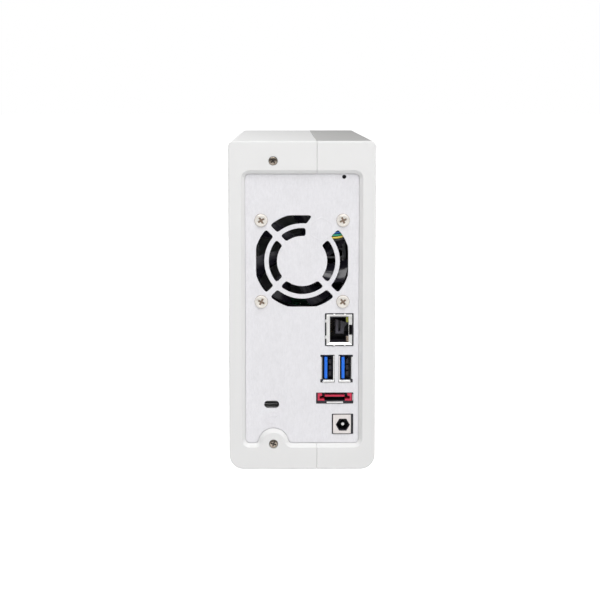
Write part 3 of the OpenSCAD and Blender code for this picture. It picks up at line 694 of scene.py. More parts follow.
class Stock:
    """Collects faces in millimetres and turns them into one finished mesh object."""

    def __init__(self) -> None:
        """Starts with no faces."""
        self.mesh = bmesh.new()

    def add_ring(self, points: Sequence[Sequence[float]]) -> list[bmesh.types.BMVert]:
        """Adds the points of one ring and returns their vertices."""
        return [self.mesh.verts.new(p) for p in points]

    def bridge(self, first: list, second: list) -> None:
        """Joins two closed rings of the same count by quads."""
        count = len(first)
        for i in range(count):
            j = (i + 1) % count
            self.mesh.faces.new((first[i], first[j], second[j], second[i]))

    def loft(self, rings: Sequence[Sequence[Sequence[float]]], closed: bool = False) -> "Stock":
        """Joins a run of rings.

        Args:
            rings: the rings, each with the same number of points.
            closed: True joins the last ring to the first, and False fills both ends.

        Returns:
            This stock.
        """
        rows = [self.add_ring(ring) for ring in rings]
        for first, second in zip(rows, rows[1:]):
            self.bridge(first, second)
        if closed:
            self.bridge(rows[-1], rows[0])
        else:
            self.mesh.faces.new(reversed(rows[0]))
            self.mesh.faces.new(rows[-1])
        return self

    def box(self, x: Span, y: Span, z: Span) -> "Stock":
        """Adds a box given by its limits."""
        low = [(x[0], y[0], z[0]), (x[1], y[0], z[0]), (x[1], y[1], z[0]), (x[0], y[1], z[0])]
        high = [(p[0], p[1], z[1]) for p in low]
        return self.loft([low, high])

    def prism(self, outline: Sequence[Flat], axis: Axis, low: float, high: float) -> "Stock":
        """Draws an outline out along an axis.

        Args:
            outline: points in the plane across the axis.
            axis: the axis.
            low: where it starts along the axis.
            high: where it ends along the axis.

        Returns:
            This stock.
        """
        return self.loft([[axis.lay(p, level) for p in outline] for level in (low, high)])

    def turned(self, at: Sequence[float], axis: Axis, profile: Sequence[Flat], steps: int = 32) -> "Stock":
        """Turns a profile around an axis.

        Args:
            at: the origin of the profile.
            axis: the axis that it turns around.
            profile: (radius, distance along the axis) pairs; radius 0 closes an end.
            steps: how many sides it has.

        Returns:
            This stock.
        """
        turn = {Axis.X: Matrix.Rotation(math.pi / 2, 3, "Y"), Axis.Y: Matrix.Rotation(-math.pi / 2, 3, "X"),
                Axis.Z: Matrix.Identity(3)}[axis]
        rows = []
        for radius, level in profile:
            if radius <= 0:
                rows.append([self.mesh.verts.new(Vector(at) + turn @ Vector((0, 0, level)))])
                continue
            ring = [
                Vector(at) + turn @ Vector((radius * math.cos(a), radius * math.sin(a), level))
                for a in (2 * math.pi * i / steps for i in range(steps))
            ]
            rows.append(self.add_ring(ring))
        for first, second in zip(rows, rows[1:]):
            if len(first) == 1 or len(second) == 1:
                tip, ring = (first, second) if len(first) == 1 else (second, first)
                for i in range(len(ring)):
                    self.mesh.faces.new((tip[0], ring[i], ring[(i + 1) % len(ring)]))
            else:
                self.bridge(first, second)
        if len(rows[0]) > 1 and len(rows[-1]) > 1:
            self.bridge(rows[-1], rows[0])
        return self

    def tube(self, path: Sequence[Vector], radius: float, sides: int = 12) -> "Stock":
        """Sweeps a round section along a path.

        Args:
            path: the points it follows.
            radius: its radius.
            sides: how many sides it has.

        Returns:
            This stock.
        """
        rings = []
        for i, point in enumerate(path):
            ahead = (path[min(i + 1, len(path) - 1)] - path[max(i - 1, 0)]).normalized()
            across = ahead.cross(Vector((0, 0, 1))).normalized()
            upward = ahead.cross(across)
            rings.append([
                point + radius * (math.cos(a) * across + math.sin(a) * upward)
                for a in (2 * math.pi * k / sides for k in range(sides))
            ])
        return self.loft(rings)

    def done(self, name: str, finish: Finish, edge: float = 0.0, segments: int = 2,
             smooth: float = SMOOTH_ANGLE) -> bpy.types.Object:
        """Makes the object, with rounded edges and its material.

        Args:
            name: the object's name.
            finish: what it is made of.
            edge: the radius of its rounded edges, in millimetres.
            segments: how many steps an edge has.
            smooth: faces that meet below this angle, in degrees, shade as one.

        Returns:
            The object.
        """
        bmesh.ops.recalc_face_normals(self.mesh, faces=self.mesh.faces)
        self.mesh.transform(Matrix.Scale(MM, 4))
        data = bpy.data.meshes.new(name)
        self.mesh.to_mesh(data)
        self.mesh.free()
        obj = linked(name, data)
        if edge > 0:
            soften_edges(obj, edge, segments)
        dress(obj, finish, smooth)
        return obj


def dress(obj: bpy.types.Object, finish: Finish, smooth: float = SMOOTH_ANGLE) -> None:
    """Gives a mesh its material and smooth shading below an angle.

    Args:
        obj: the mesh object.
        finish: its finish.
        smooth: the angle in degrees.
    """
    obj.data.materials.clear()
    obj.data.materials.append(finish.material())
    obj.data.shade_smooth()
    obj.data.set_sharp_from_angle(angle=math.radians(smooth))


def settle(obj: bpy.types.Object) -> bpy.types.Object:
    """Replaces an object's mesh by its evaluated one and drops its modifiers.

    Args:
        obj: the object.

    Returns:
        The same object.
    """
    bpy.context.view_layer.update()
    graph = bpy.context.evaluated_depsgraph_get()
    fresh = bpy.data.meshes.new_from_object(obj.evaluated_get(graph))
    obj.modifiers.clear()
    obj.data = fresh
    return obj


def soften_edges(obj: bpy.types.Object, width: float, segments: int = 2, weighted: bool = False) -> None:
    """Rounds an object's sharp edges.

    Args:
        obj: the object.
        width: the radius, in millimetres.
        segments: how many steps an edge has.
        weighted: True rounds only the edges that carry a bevel weight.
    """
    bevel = obj.modifiers.new("edges", "BEVEL")
    bevel.width = width * MM
    bevel.segments = segments
    bevel.limit_method = "WEIGHT" if weighted else "ANGLE"
    bevel.angle_limit = math.radians(EDGE_ANGLE)
    bevel.use_clamp_overlap = True
    settle(obj)


def even_normals(obj: bpy.types.Object) -> None:
    """Lets large flat faces keep their own normals beside small rounded edges."""
    weighted = obj.modifiers.new("normals", "WEIGHTED_NORMAL")
    weighted.keep_sharp = True
    weighted.weight = 100
    settle(obj)


def carve(obj: bpy.types.Object, cutter: bpy.types.Object) -> None:
    """Cuts one mesh out of another and removes the cutter.

    Args:
        obj: the mesh that is cut.
        cutter: the mesh that is taken away.
    """
    cut = obj.modifiers.new("cut", "BOOLEAN")
    cut.operation = "DIFFERENCE"
    cut.solver = "EXACT"
    cut.object = cutter
    settle(obj)
    bpy.data.objects.remove(cutter)


def sheet(name: str, outlines: Sequence[Sequence[Flat]], axis: Axis, low: float, high: float,
          finish: Finish, edge: float = 0.1) -> bpy.types.Object:
    """Makes a flat part with holes and rounded edges.

    Args:
        name: the object's name.
        outlines: the outer outline, then the holes, in the plane across the axis.
        axis: the axis that it is drawn out along, X or Y.
        low: its lower face along the axis.
        high: its upper face along the axis.
        finish: what it is made of.
        edge: the radius of its edges, in millimetres.

    Returns:
        The object.
    """
    curve = bpy.data.curves.new(name, "CURVE")
    curve.dimensions = "2D"
    curve.fill_mode = "BOTH"
    curve.extrude = (high - low) / 2 - edge
    curve.bevel_depth = edge
    curve.bevel_resolution = 1
    curve.offset = -edge
    for outline in outlines:
        spline = curve.splines.new("POLY")
        spline.points.add(len(outline) - 1)
        for point, (u, v) in zip(spline.points, outline):
            point.co = (u, v, 0.0, 1.0)
        spline.use_cyclic_u = True
    carrier = linked(name + "_outline", curve)
    bpy.context.view_layer.update()
    data = bpy.data.meshes.new_from_object(carrier.evaluated_get(bpy.context.evaluated_depsgraph_get()))
    bpy.data.objects.remove(carrier)
    middle = (low + high) / 2
    data.transform(Matrix.Scale(MM, 4) @ Matrix.Translation(axis.lay((0, 0), middle)) @ axis.matrix())
    merge_doubles(data)
    obj = linked(name, data)
    dress(obj, finish)
    return obj


def merge_doubles(data: bpy.types.Mesh) -> None:
    """Welds a mesh's doubled points and turns its faces outwards."""
    work = bmesh.new()
    work.from_mesh(data)
    bmesh.ops.remove_doubles(work, verts=work.verts, dist=0.001 * MM)
    bmesh.ops.recalc_face_normals(work, faces=work.faces)
    work.to_mesh(data)
    work.free()


def joined(name: str, parts: Sequence[bpy.types.Object]) -> bpy.types.Object:
    """Joins meshes into one object that keeps the first one's material.

    Args:
        name: the new object's name.
        parts: the meshes.

    Returns:
        The joined object.
    """
    work = bmesh.new()
    material = parts[0].data.materials[0] if parts[0].data.materials else None
    for part in parts:
        work.from_mesh(part.data)
    data = bpy.data.meshes.new(name)
    work.to_mesh(data)
    work.free()
    for part in parts:
        bpy.data.objects.remove(part)
    if material:
        data.materials.append(material)
    data.shade_smooth()
    data.set_sharp_from_angle(angle=math.radians(SMOOTH_ANGLE))
    return linked(name, data)


# ---------------------------------------------------------------------------------------------
# Geometry Nodes for what repeats
# ---------------------------------------------------------------------------------------------


class Repeater:
    """A node tree that puts copies of one template on points, each with its own turn."""

    def __init__(self, name: str) -> None:
        """Starts the tree with its interface.

        Args:
            name: the tree's name.
        """
        self.tree = bpy.data.node_groups.new(name, "GeometryNodeTree")
        face = self.tree.interface
        face.new_socket("Geometry", in_out="INPUT", socket_type="NodeSocketGeometry")
        face.new_socket("Template", in_out="INPUT", socket_type="NodeSocketObject")
        face.new_socket("Finish", in_out="INPUT", socket_type="NodeSocketMaterial")
        face.new_socket("Geometry", in_out="OUTPUT", socket_type="NodeSocketGeometry")
        self.inside = self.tree.nodes.new("NodeGroupInput")
        self.outside = self.tree.nodes.new("NodeGroupOutput")

    def number(self, name: str, default: float, whole: bool = False) -> None:
        """Adds a number to the tree's inputs.

        Args:
            name: the input's name.
            default: its value at first.
            whole: True makes it a whole number.
        """
        kind = "NodeSocketInt" if whole else "NodeSocketFloat"
        socket = self.tree.interface.new_socket(name, in_out="INPUT", socket_type=kind)
        socket.default_value = default

    def add(self, kind: str, settings: dict[str, Any], links: dict[Union[int, str], Any]) -> Any:
        """Adds a node, its settings first and then its values and links.

        Args:
            kind: the node's type.
            settings: its settings.
            links: values or output sockets by input.

        Returns:
            The node.
        """
        node = self.tree.nodes.new(kind)
        for key, value in settings.items():
            setattr(node, key, value)
        for key, value in links.items():
            if isinstance(value, bpy.types.NodeSocket):
                self.tree.links.new(value, node.inputs[key])
            else:
                node.inputs[key].default_value = value
        return node

    def given(self, name: str) -> bpy.types.NodeSocket:
        """Returns one of the tree's inputs."""
        return self.inside.outputs[name]

    def vector(self, **parts: Any) -> bpy.types.NodeSocket:
        """Returns a vector from values or sockets for X, Y and Z."""
        return self.add("ShaderNodeCombineXYZ", {}, parts).outputs[0]

    def close(self, points: bpy.types.NodeSocket, rotation: bpy.types.NodeSocket) -> None:
        """Places the template on points, realizes the copies and sets their material.

        Args:
            points: where the copies go.
            rotation: how each is turned.
        """
        template = self.add("GeometryNodeObjectInfo", {}, {"Object": self.given("Template")})
        copies = self.add("GeometryNodeInstanceOnPoints", {}, {
            "Points": points, "Instance": template.outputs["Geometry"], "Rotation": rotation})
        real = self.add("GeometryNodeRealizeInstances", {}, {"Geometry": copies.outputs[0]})
        painted = self.add("GeometryNodeSetMaterial", {}, {
            "Geometry": real.outputs[0], "Material": self.given("Finish")})
        self.tree.links.new(painted.outputs[0], self.outside.inputs[0])

    def run(self, name: str, carrier: bpy.types.Mesh, template: bpy.types.Object, finish: Finish,
            values: dict[str, float]) -> bpy.types.Object:
        """Runs the tree on a carrier mesh and returns a plain mesh object.

        Args:
            name: the new object's name.
            carrier: the mesh whose points carry the copies.
            template: the object that is copied; it is removed afterwards.
            finish: the copies' finish.
            values: the tree's numbers by name.

        Returns:
            The object with plain geometry.
        """
        obj = linked(name, carrier)
        modifier = obj.modifiers.new("repeat", "NODES")
        modifier.node_group = self.tree
        sockets = {s.name: s.identifier for s in self.tree.interface.items_tree if s.in_out == "INPUT"}
        modifier[sockets["Template"]] = template
        modifier[sockets["Finish"]] = finish.material()
        for key, value in values.items():
            modifier[sockets[key]] = value
        settle(obj)
        bpy.data.objects.remove(template)
        dress(obj, finish)
        return obj


class Scatter(Repeater):
    """Copies on given points, each turned about one axis by a seeded random angle."""

    def __init__(self, axis: Axis) -> None:
        """Builds the tree.

        Args:
            axis: the axis that the copies are turned about.
        """
        super().__init__("scatter_" + axis.value)
        self.number("Largest turn", math.pi)
        self.number("Seed", 1, whole=True)
        turn = self.add("FunctionNodeRandomValue", {"data_type": "FLOAT"}, {
            "Max": self.given("Largest turn"), "Seed": self.given("Seed")})
        self.close(self.given("Geometry"), self.vector(**{axis.name: turn.outputs[1]}))


class Row(Repeater):
    """Copies on a straight line with equal steps."""

    def __init__(self) -> None:
        """Builds the tree."""
        super().__init__("row")
        self.number("Count", 4, whole=True)
        for name in ("Start X", "Start Y", "Start Z", "Step X", "Step Y", "Step Z"):
            self.number(name, 0.0)
        start, step = (
            self.vector(**{axis: self.given(f"{what} {axis}") for axis in "XYZ"})
            for what in ("Start", "Step"))
        line = self.add("GeometryNodeMeshLine", {}, {
            "Count": self.given("Count"), "Start Location": start, "Offset": step})
        self.close(line.outputs[0], self.vector())

    def along(self, name: str, template: bpy.types.Object, finish: Finish, count: int,
              start: Sequence[float], step: Sequence[float]) -> bpy.types.Object:
        """Repeats a template along a line.

        Args:
            name: the new object's name.
            template: the object that is copied.
            finish: the copies' finish.
            count: how many copies there are.
            start: the first copy's place, in millimetres.
            step: the way from one copy to the next, in millimetres.

        Returns:
            The object with plain geometry.
        """
        values: dict[str, float] = {"Count": count}
        for axis, first, way in zip("XYZ", start, step):
            values["Start " + axis] = first * MM
            values["Step " + axis] = way * MM
        return self.run(name, bpy.data.meshes.new(name), template, finish, values)


class Ring(Repeater):
    """Copies turned by equal steps around the Y axis through a centre."""

    def __init__(self) -> None:
        """Builds the tree."""
        super().__init__("ring")
        self.number("Count", 7, whole=True)
        self.number("Centre Y", 0.0)
        self.number("Centre Z", 0.0)
        points = self.add("GeometryNodeMeshLine", {}, {
            "Count": self.given("Count"), "Offset": self.vector(),
            "Start Location": self.vector(Y=self.given("Centre Y"), Z=self.given("Centre Z"))})
        index = self.add("GeometryNodeInputIndex", {}, {})
        whole = self.add("ShaderNodeMath", {"operation": "MULTIPLY"}, {
            0: index.outputs[0], 1: 2 * math.pi})
        part = self.add("ShaderNodeMath", {"operation": "DIVIDE"}, {
            0: whole.outputs[0], 1: self.given("Count")})
        self.close(points.outputs[0], self.vector(Y=part.outputs[0]))


def point_cloud(name: str, places: Sequence[Sequence[float]]) -> bpy.types.Mesh:
    """Returns a mesh of loose points at places in millimetres."""
    data = bpy.data.meshes.new(name)
    data.from_pydata([tuple(c * MM for c in place) for place in places], [], [])
    return data


# ---------------------------------------------------------------------------------------------
# Sub-assemblies
# ---------------------------------------------------------------------------------------------


@dataclass
class Assembly:
    """A group of pieces that puts each finished piece on its body."""

    frame: dict[str, Any]

    def fit(self, obj: bpy.types.Object, body: str, slot: str, *nodes: str) -> bpy.types.Object:
        """Puts a piece on its body, evens its normals, hides the CAD nodes that it replaces and logs it.

        Args:
            obj: the finished piece.
            body: the body that it rides on.
            slot: the record's material slot.
            nodes: the CAD nodes that it replaces.

        Returns:
            The piece.
        """
        even_normals(obj)
        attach(obj, body)
        if nodes:
            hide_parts(*nodes)
        log.info("%s: %d faces, %s, on %s", obj.name, len(obj.data.polygons), slot, body)
        return obj


@dataclass
class Housing(Assembly):
    """The shells, the bezel and the feet."""

    half_width: float = 36.0
    low_z: float = 3.5
    high_z: float = 165.5
    rear_y: float = REAR_Y
    low_r: float = 7.2
    high_r: float = 2.8
    seam_x: float = -7.2
    seam_gap: float = 0.04
    rim: float = 2.5
    wall: float = 2.2
    skin: float = 1.2
    base_wall: float = 1.8
    bezel: float = 12.0
    edge: float = 0.8
    window_x: float = 27.9
    window_z: Span = (16.2, 149.5)
    window_r: float = 2.3
    bevel: float = 1.8
    screw_x: float = COVER_SCREW_X
    screw_zs: Span = COVER_SCREW_ZS
    boss_r: float = 7.5
    fillet: float = 2.0
    corner_steps: int = 10

    @property
    def front_y(self) -> float:
        """The front face of the unit."""
        return -self.rear_y

    @property
    def shell_front_y(self) -> float:
        """Where the shells end and the bezel begins."""
        return self.front_y + self.bezel

    def boss_path(self, offset: float) -> list[Flat]:
        """Returns the lower side of the window from left to right, over the screw's boss.

        Args:
            offset: how far the line is moved outwards from the window.

        Returns:
            The points between the window's lower corners.
        """
        line_z = self.window_z[0] - offset
        radius = self.boss_r - offset
        fillet = self.fillet + offset
        centre = (self.screw_x, self.screw_zs[0])
        rise = line_z + fillet - centre[1]
        reach = math.sqrt((radius + fillet) ** 2 - rise ** 2)
        angle = math.degrees(math.atan2(rise, reach))
        left = arc((centre[0] - reach, centre[1] + rise), fillet, -90, -angle, 6)
        dome = arc(centre, radius, 180 - angle, angle, 20)
        right = arc((centre[0] + reach, centre[1] + rise), fillet, 180 + angle, 270, 6)
        run = [(-20.0 + 4.0 * i, line_z) for i in range(6)]
        return run + left + dome[1:-1] + right

    def side_points(self, low_z: float) -> list[Flat]:
        """Returns the lower side of an outer ring, with a point under each one of the boss path."""
        return [(p[0], low_z) for p in self.boss_path(0.0)]

    def outer_ring(self, inset: float, y: float) -> list[Place]:
        """Returns one ring of the body's cross-section.

        Args:
            inset: how far it is moved inwards.
            y: where it lies along the body.

        Returns:
            The ring's points.
        """
        x = self.half_width - inset
        low, high = self.low_z + inset, self.high_z - inset
        low_r, high_r = max(self.low_r - inset, 0.3), max(self.high_r - inset, 0.3)
        return self.ring(self.side_points(low), x, (low, high), low_r, high_r, y)

    def window_ring(self, offset: float, y: float) -> list[Place]:
        """Returns one ring of the rear window.

        Args:
            offset: how far it is moved outwards from the window.
            y: where it lies along the body.

        Returns:
            The ring's points.
        """
        x = self.window_x + offset
        z = (self.window_z[0] - offset, self.window_z[1] + offset)
        radius = self.window_r + offset
        return self.ring(self.boss_path(offset), x, z, radius, radius, y)

    def ring(self, lower: list[Flat], x: float, z: Span, low_r: float, high_r: float,
             y: float) -> list[Place]:
        """Joins a lower side and four corners into a ring at one depth."""
        steps = self.corner_steps
        flat = (
            lower
            + arc((x - low_r, z[0] + low_r), low_r, -90, 0, steps)
            + arc((x - high_r, z[1] - high_r), high_r, 0, 90, steps)
            + arc((-x + high_r, z[1] - high_r), high_r, 90, 180, steps)
            + arc((-x + low_r, z[0] + low_r), low_r, 180, 270, steps)
        )
        return [(p[0], y, p[1]) for p in flat]

    def rear_rings(self, back_y: float) -> list[list[Place]]:
        """Returns the rings from the outer side, round the rear edge and down into the window."""
        rear, edge, bevel = self.rear_y, self.edge, self.bevel
        rings = [self.outer_ring(0.0, rear - edge)]
        for i in range(1, 6):
            a = math.radians(90 * i / 5)
            rings.append(self.outer_ring(edge * (1 - math.cos(a)), rear - edge * (1 - math.sin(a))))
        rings.append(self.outer_ring(edge + 0.4, rear))
        return rings + [self.window_ring(offset, y) for offset, y in (
            (bevel + 0.14, rear), (bevel - 0.02, rear - 0.06), (bevel - 0.14, rear - 0.2),
            (0.16, back_y + 0.5), (0.0, back_y + 0.28), (0.0, back_y))]

    def half(self, name: str, rings: list, finish: Finish, keep_right: bool,
             closed: bool = True) -> bpy.types.Object:
        """Lofts rings, cuts them at the seam and keeps one side.

        Args:
            name: the object's name.
            rings: the rings of the whole shape.
            finish: what it is made of.
            keep_right: True keeps the side towards +X.
            closed: True for a tube that closes on itself, False for a cup.

        Returns:
            The half shell with softened seam edges.
        """
        stock = Stock().loft(rings, closed)
        work = stock.mesh
        bmesh.ops.remove_doubles(work, verts=work.verts, dist=1e-5)
        bmesh.ops.recalc_face_normals(work, faces=work.faces)
        plane = self.seam_x + (self.seam_gap if keep_right else -self.seam_gap)
        result = bmesh.ops.bisect_plane(
            work, geom=work.verts[:] + work.edges[:] + work.faces[:], plane_co=(plane, 0, 0),
            plane_no=(1, 0, 0), clear_outer=not keep_right, clear_inner=keep_right, dist=1e-5)
        rim = [e for e in result["geom_cut"] if isinstance(e, bmesh.types.BMEdge)]
        bmesh.ops.holes_fill(work, edges=rim, sides=0)
        weights = work.edges.layers.float.new("bevel_weight_edge")
        for edge in work.edges:
            if all(abs(v.co.x - plane) < 1e-4 for v in edge.verts):
                edge[weights] = 1.0
        obj = stock.done(name, finish)
        soften_edges(obj, 0.32, 3, weighted=True)
        dress(obj, finish)
        return obj

    def screw_cutter(self) -> bpy.types.Object:
        """Returns the counterbores and through holes of the cover's screws."""
        stock = Stock()
        for z in self.screw_zs:
            stock.turned((self.screw_x, 0, z), Axis.Y, [
                (0, self.rear_y - 4), (1.5, self.rear_y - 4), (1.5, self.rear_y - 1.3),
                (2.2, self.rear_y - 1.3), (2.2, self.rear_y - 0.25), (2.5, self.rear_y + 0.05),
                (2.5, self.rear_y + 2), (0, self.rear_y + 2)], 48)
        return stock.done("screw_cutter", Palette.light)

    def floor_slots(self, x: float, row: Row) -> bpy.types.Object:
        """Returns cutters for the air slots in one shell's floor, repeated along Y."""
        slot = Stock().prism(
            rounded([(x - 9, -1.5), (x + 9, -1.5), (x + 9, 1.5), (x - 9, 1.5)], 1.5, 6),
            Axis.Z, 2.0, 8.0).done("floor_slot", Palette.light)
        return row.along("floor_slots", slot, Palette.light, 11, (0, -40, 0), (0, 8, 0))

    def side_slots(self, row: Row) -> bpy.types.Object:
        """Returns cutters for the tall air slots in the cover's side."""
        slot = Stock().prism(
            rounded([(-1.3, -32), (1.3, -32), (1.3, 32), (-1.3, 32)], 1.3, 6),
            Axis.X, 30.0, 40.0).done("side_slot", Palette.light)
        return row.along("side_slots", slot, Palette.light, 9, (0, -68, 84.5), (0, 7, 0))

    def cover(self, row: Row) -> None:
        """Builds the sliding cover with its screw boss, counterbores and air slots."""
        back = self.rear_y - self.rim + 0.1
        front = self.shell_front_y + 0.3
        rings = [self.outer_ring(0.3, front), self.outer_ring(0.0, front + 0.3)]
        rings += self.rear_rings(back)
        rings += [self.outer_ring(self.wall, back), self.outer_ring(self.wall, front)]
        obj = self.half("cover_shell", rings, Palette.light, keep_right=True)
        carve(obj, self.screw_cutter())
        carve(obj, self.side_slots(row))
        carve(obj, self.floor_slots(22.0, row))
        dress(obj, Palette.light)
        self.fit(obj, "slide_cover", "light_plastic", "cover")

    def base(self, row: Row) -> None:
        """Builds the base shell with its rear rim, its lips and its standoffs."""
        back = self.rear_y - self.rim
        front = self.shell_front_y
        rings = [self.outer_ring(self.skin, front), self.outer_ring(self.skin, back),
                 self.outer_ring(0.15, back), self.outer_ring(0.0, back + 0.15)]
        rings += self.rear_rings(back)
        inner = self.skin + self.base_wall
        rings += [self.outer_ring(inner, back), self.outer_ring(inner, front)]
        shell = self.half("base_shell_wall", rings, Palette.light, keep_right=False)
        carve(shell, self.floor_slots(-22.0, row))
        parts = [shell]
        wall_x = -self.half_width + inner
        for z in (self.high_z - 4.3, self.low_z + 3.0):
            parts.append(Stock().box(
                (self.seam_x - 6, -3.5), (front, back - 4), (z, z + 1.3)).done("lip", Palette.light, 0.15))
        tops = ((BOARD_SCREWS, -26.8), (FLANGE_SCREWS, -30.2), (BRACKET_SCREWS, -27.0))
        for places, top in tops:
            for y, z in places:
                parts.append(Stock().turned((0, y, z), Axis.X, [
                    (3.4, wall_x), (3.0, wall_x + 0.8), (3.0, top - 0.3), (2.7, top), (1.4, top),
                    (1.2, top - 0.3), (1.2, wall_x + 0.5), (0, wall_x + 0.5)]).done("boss", Palette.light))
        self.fit(joined("base_shell_light", parts), "chassis", "light_plastic", "base_shell")

    def panel(self, row: Row) -> None:
        """Builds the grey skin around the base shell."""
        front, back = self.shell_front_y, self.rear_y - self.rim
        rings = [self.outer_ring(0.2, front), self.outer_ring(0.0, front + 0.2),
                 self.outer_ring(0.0, back - 0.2), self.outer_ring(0.2, back),
                 self.outer_ring(self.skin - 0.02, back), self.outer_ring(self.skin - 0.02, front)]
        obj = self.half("side_skin", rings, Palette.grey, keep_right=False)
        carve(obj, self.floor_slots(-22.0, row))
        dress(obj, Palette.grey)
        self.fit(obj, "chassis", "grey_plastic", "side_panel")

    def cup(self, skin: float, wall: float, face: float, soft: float) -> list:
        """Returns the rings of a front cap, from the middle of its face to the inside.

        Args:
            skin: how far its outside lies within the body's outline.
            wall: the thickness of its sides.
            face: the thickness of its face.
            soft: the radius of its front edge.

        Returns:
            The rings.
        """
        front = self.front_y + skin
        rings = [self.outer_ring(skin + soft + 1.0, front)]
        for i in range(7):
            a = math.radians(90 * i / 6)
            rings.append(self.outer_ring(
                skin + soft * (1 - math.sin(a)), front + soft * (1 - math.cos(a))))
        rings += [
            self.outer_ring(skin, self.shell_front_y - 0.25),
            self.outer_ring(skin + 0.25, self.shell_front_y),
            self.outer_ring(skin + wall, self.shell_front_y),
            self.outer_ring(skin + wall, front + face)]
        return rings

    def bezel_and_strip(self) -> None:
        """Builds the light bezel and the grey strip beside it, with their openings."""
        wide = self.half("bezel_face", self.cup(0.0, self.wall, 2.5, 1.6), Palette.light, True, False)
        narrow = self.half(
            "bezel_inner", self.cup(self.skin, self.base_wall, 1.8, 0.6), Palette.light, False, False)
        bridge = Stock().box(
            (self.seam_x - 3, self.seam_x + 3), (self.front_y + 1.3, self.front_y + 2.5),
            (self.low_z + 3, self.high_z - 3)).done("bridge", Palette.light)
        strip = self.half("front_strip_face", self.cup(0.0, self.skin, self.skin, 1.0), Palette.grey,
                          False, False)
        for obj in (narrow, strip):
            carve(obj, self.front_cutter())
        posts = [
            Stock().turned((-30, 0, z), Axis.Y, [
                (2.5, self.front_y + 3), (2.5, -101.9), (2.2, -101.85), (1.0, -101.85),
                (1.0, self.front_y + 4), (0, self.front_y + 4)]).done("post", Palette.light)
            for z in (50, 96)]
        dress(strip, Palette.grey)
        self.fit(joined("bezel_light", [wide, narrow, bridge, *posts]), "chassis", "light_plastic",
                 "front_bezel")
        self.fit(strip, "chassis", "grey_plastic", "front_strip")

    def front_cutter(self) -> bpy.types.Object:
        """Returns the cutter for the button's hole and the windows of the indicators."""
        mid = (-self.half_width + self.seam_x) / 2
        stock = Stock()
        stock.turned((mid, 0, BUTTON_Z), Axis.Y, [
            (0, self.front_y - 2), (6.9, self.front_y - 2), (6.9, self.front_y - 0.05),
            (6.3, self.front_y + 0.5), (6.3, self.front_y + 6), (0, self.front_y + 6)], 64)
        for z in INDICATOR_ZS:
            stock.prism(
                rectangle((mid - 1.1, mid + 1.1), (z - 3.1, z + 3.1), 0.3, steps=3),
                Axis.Y, self.front_y - 2, self.front_y + 6)
        return stock.done("front_cutter", Palette.light)

    def feet(self) -> None:
        """Builds the rubber feet of both shells."""
        for name, body, x in (("base_feet", "chassis", -22), ("cover_feet", "slide_cover", 22)):
            feet = [
                Stock().turned((x, side * 84, 0), Axis.Z, [
                    (0, 0.6), (2.6, 0.6), (3.0, 0.0), (5.2, 0.0), (5.85, 0.5), (6.0, 1.2),
                    (5.7, self.low_z), (0, self.low_z)], 40).done("foot", Palette.rubber)
                for side in (-1, 1)]
            self.fit(joined(name + "_turned", feet), body, "rubber", name)

    def build(self, row: Row) -> None:
        """Builds every piece of the housing."""
        self.cover(row)
        self.base(row)
        self.panel(row)
        self.bezel_and_strip()
        self.feet()


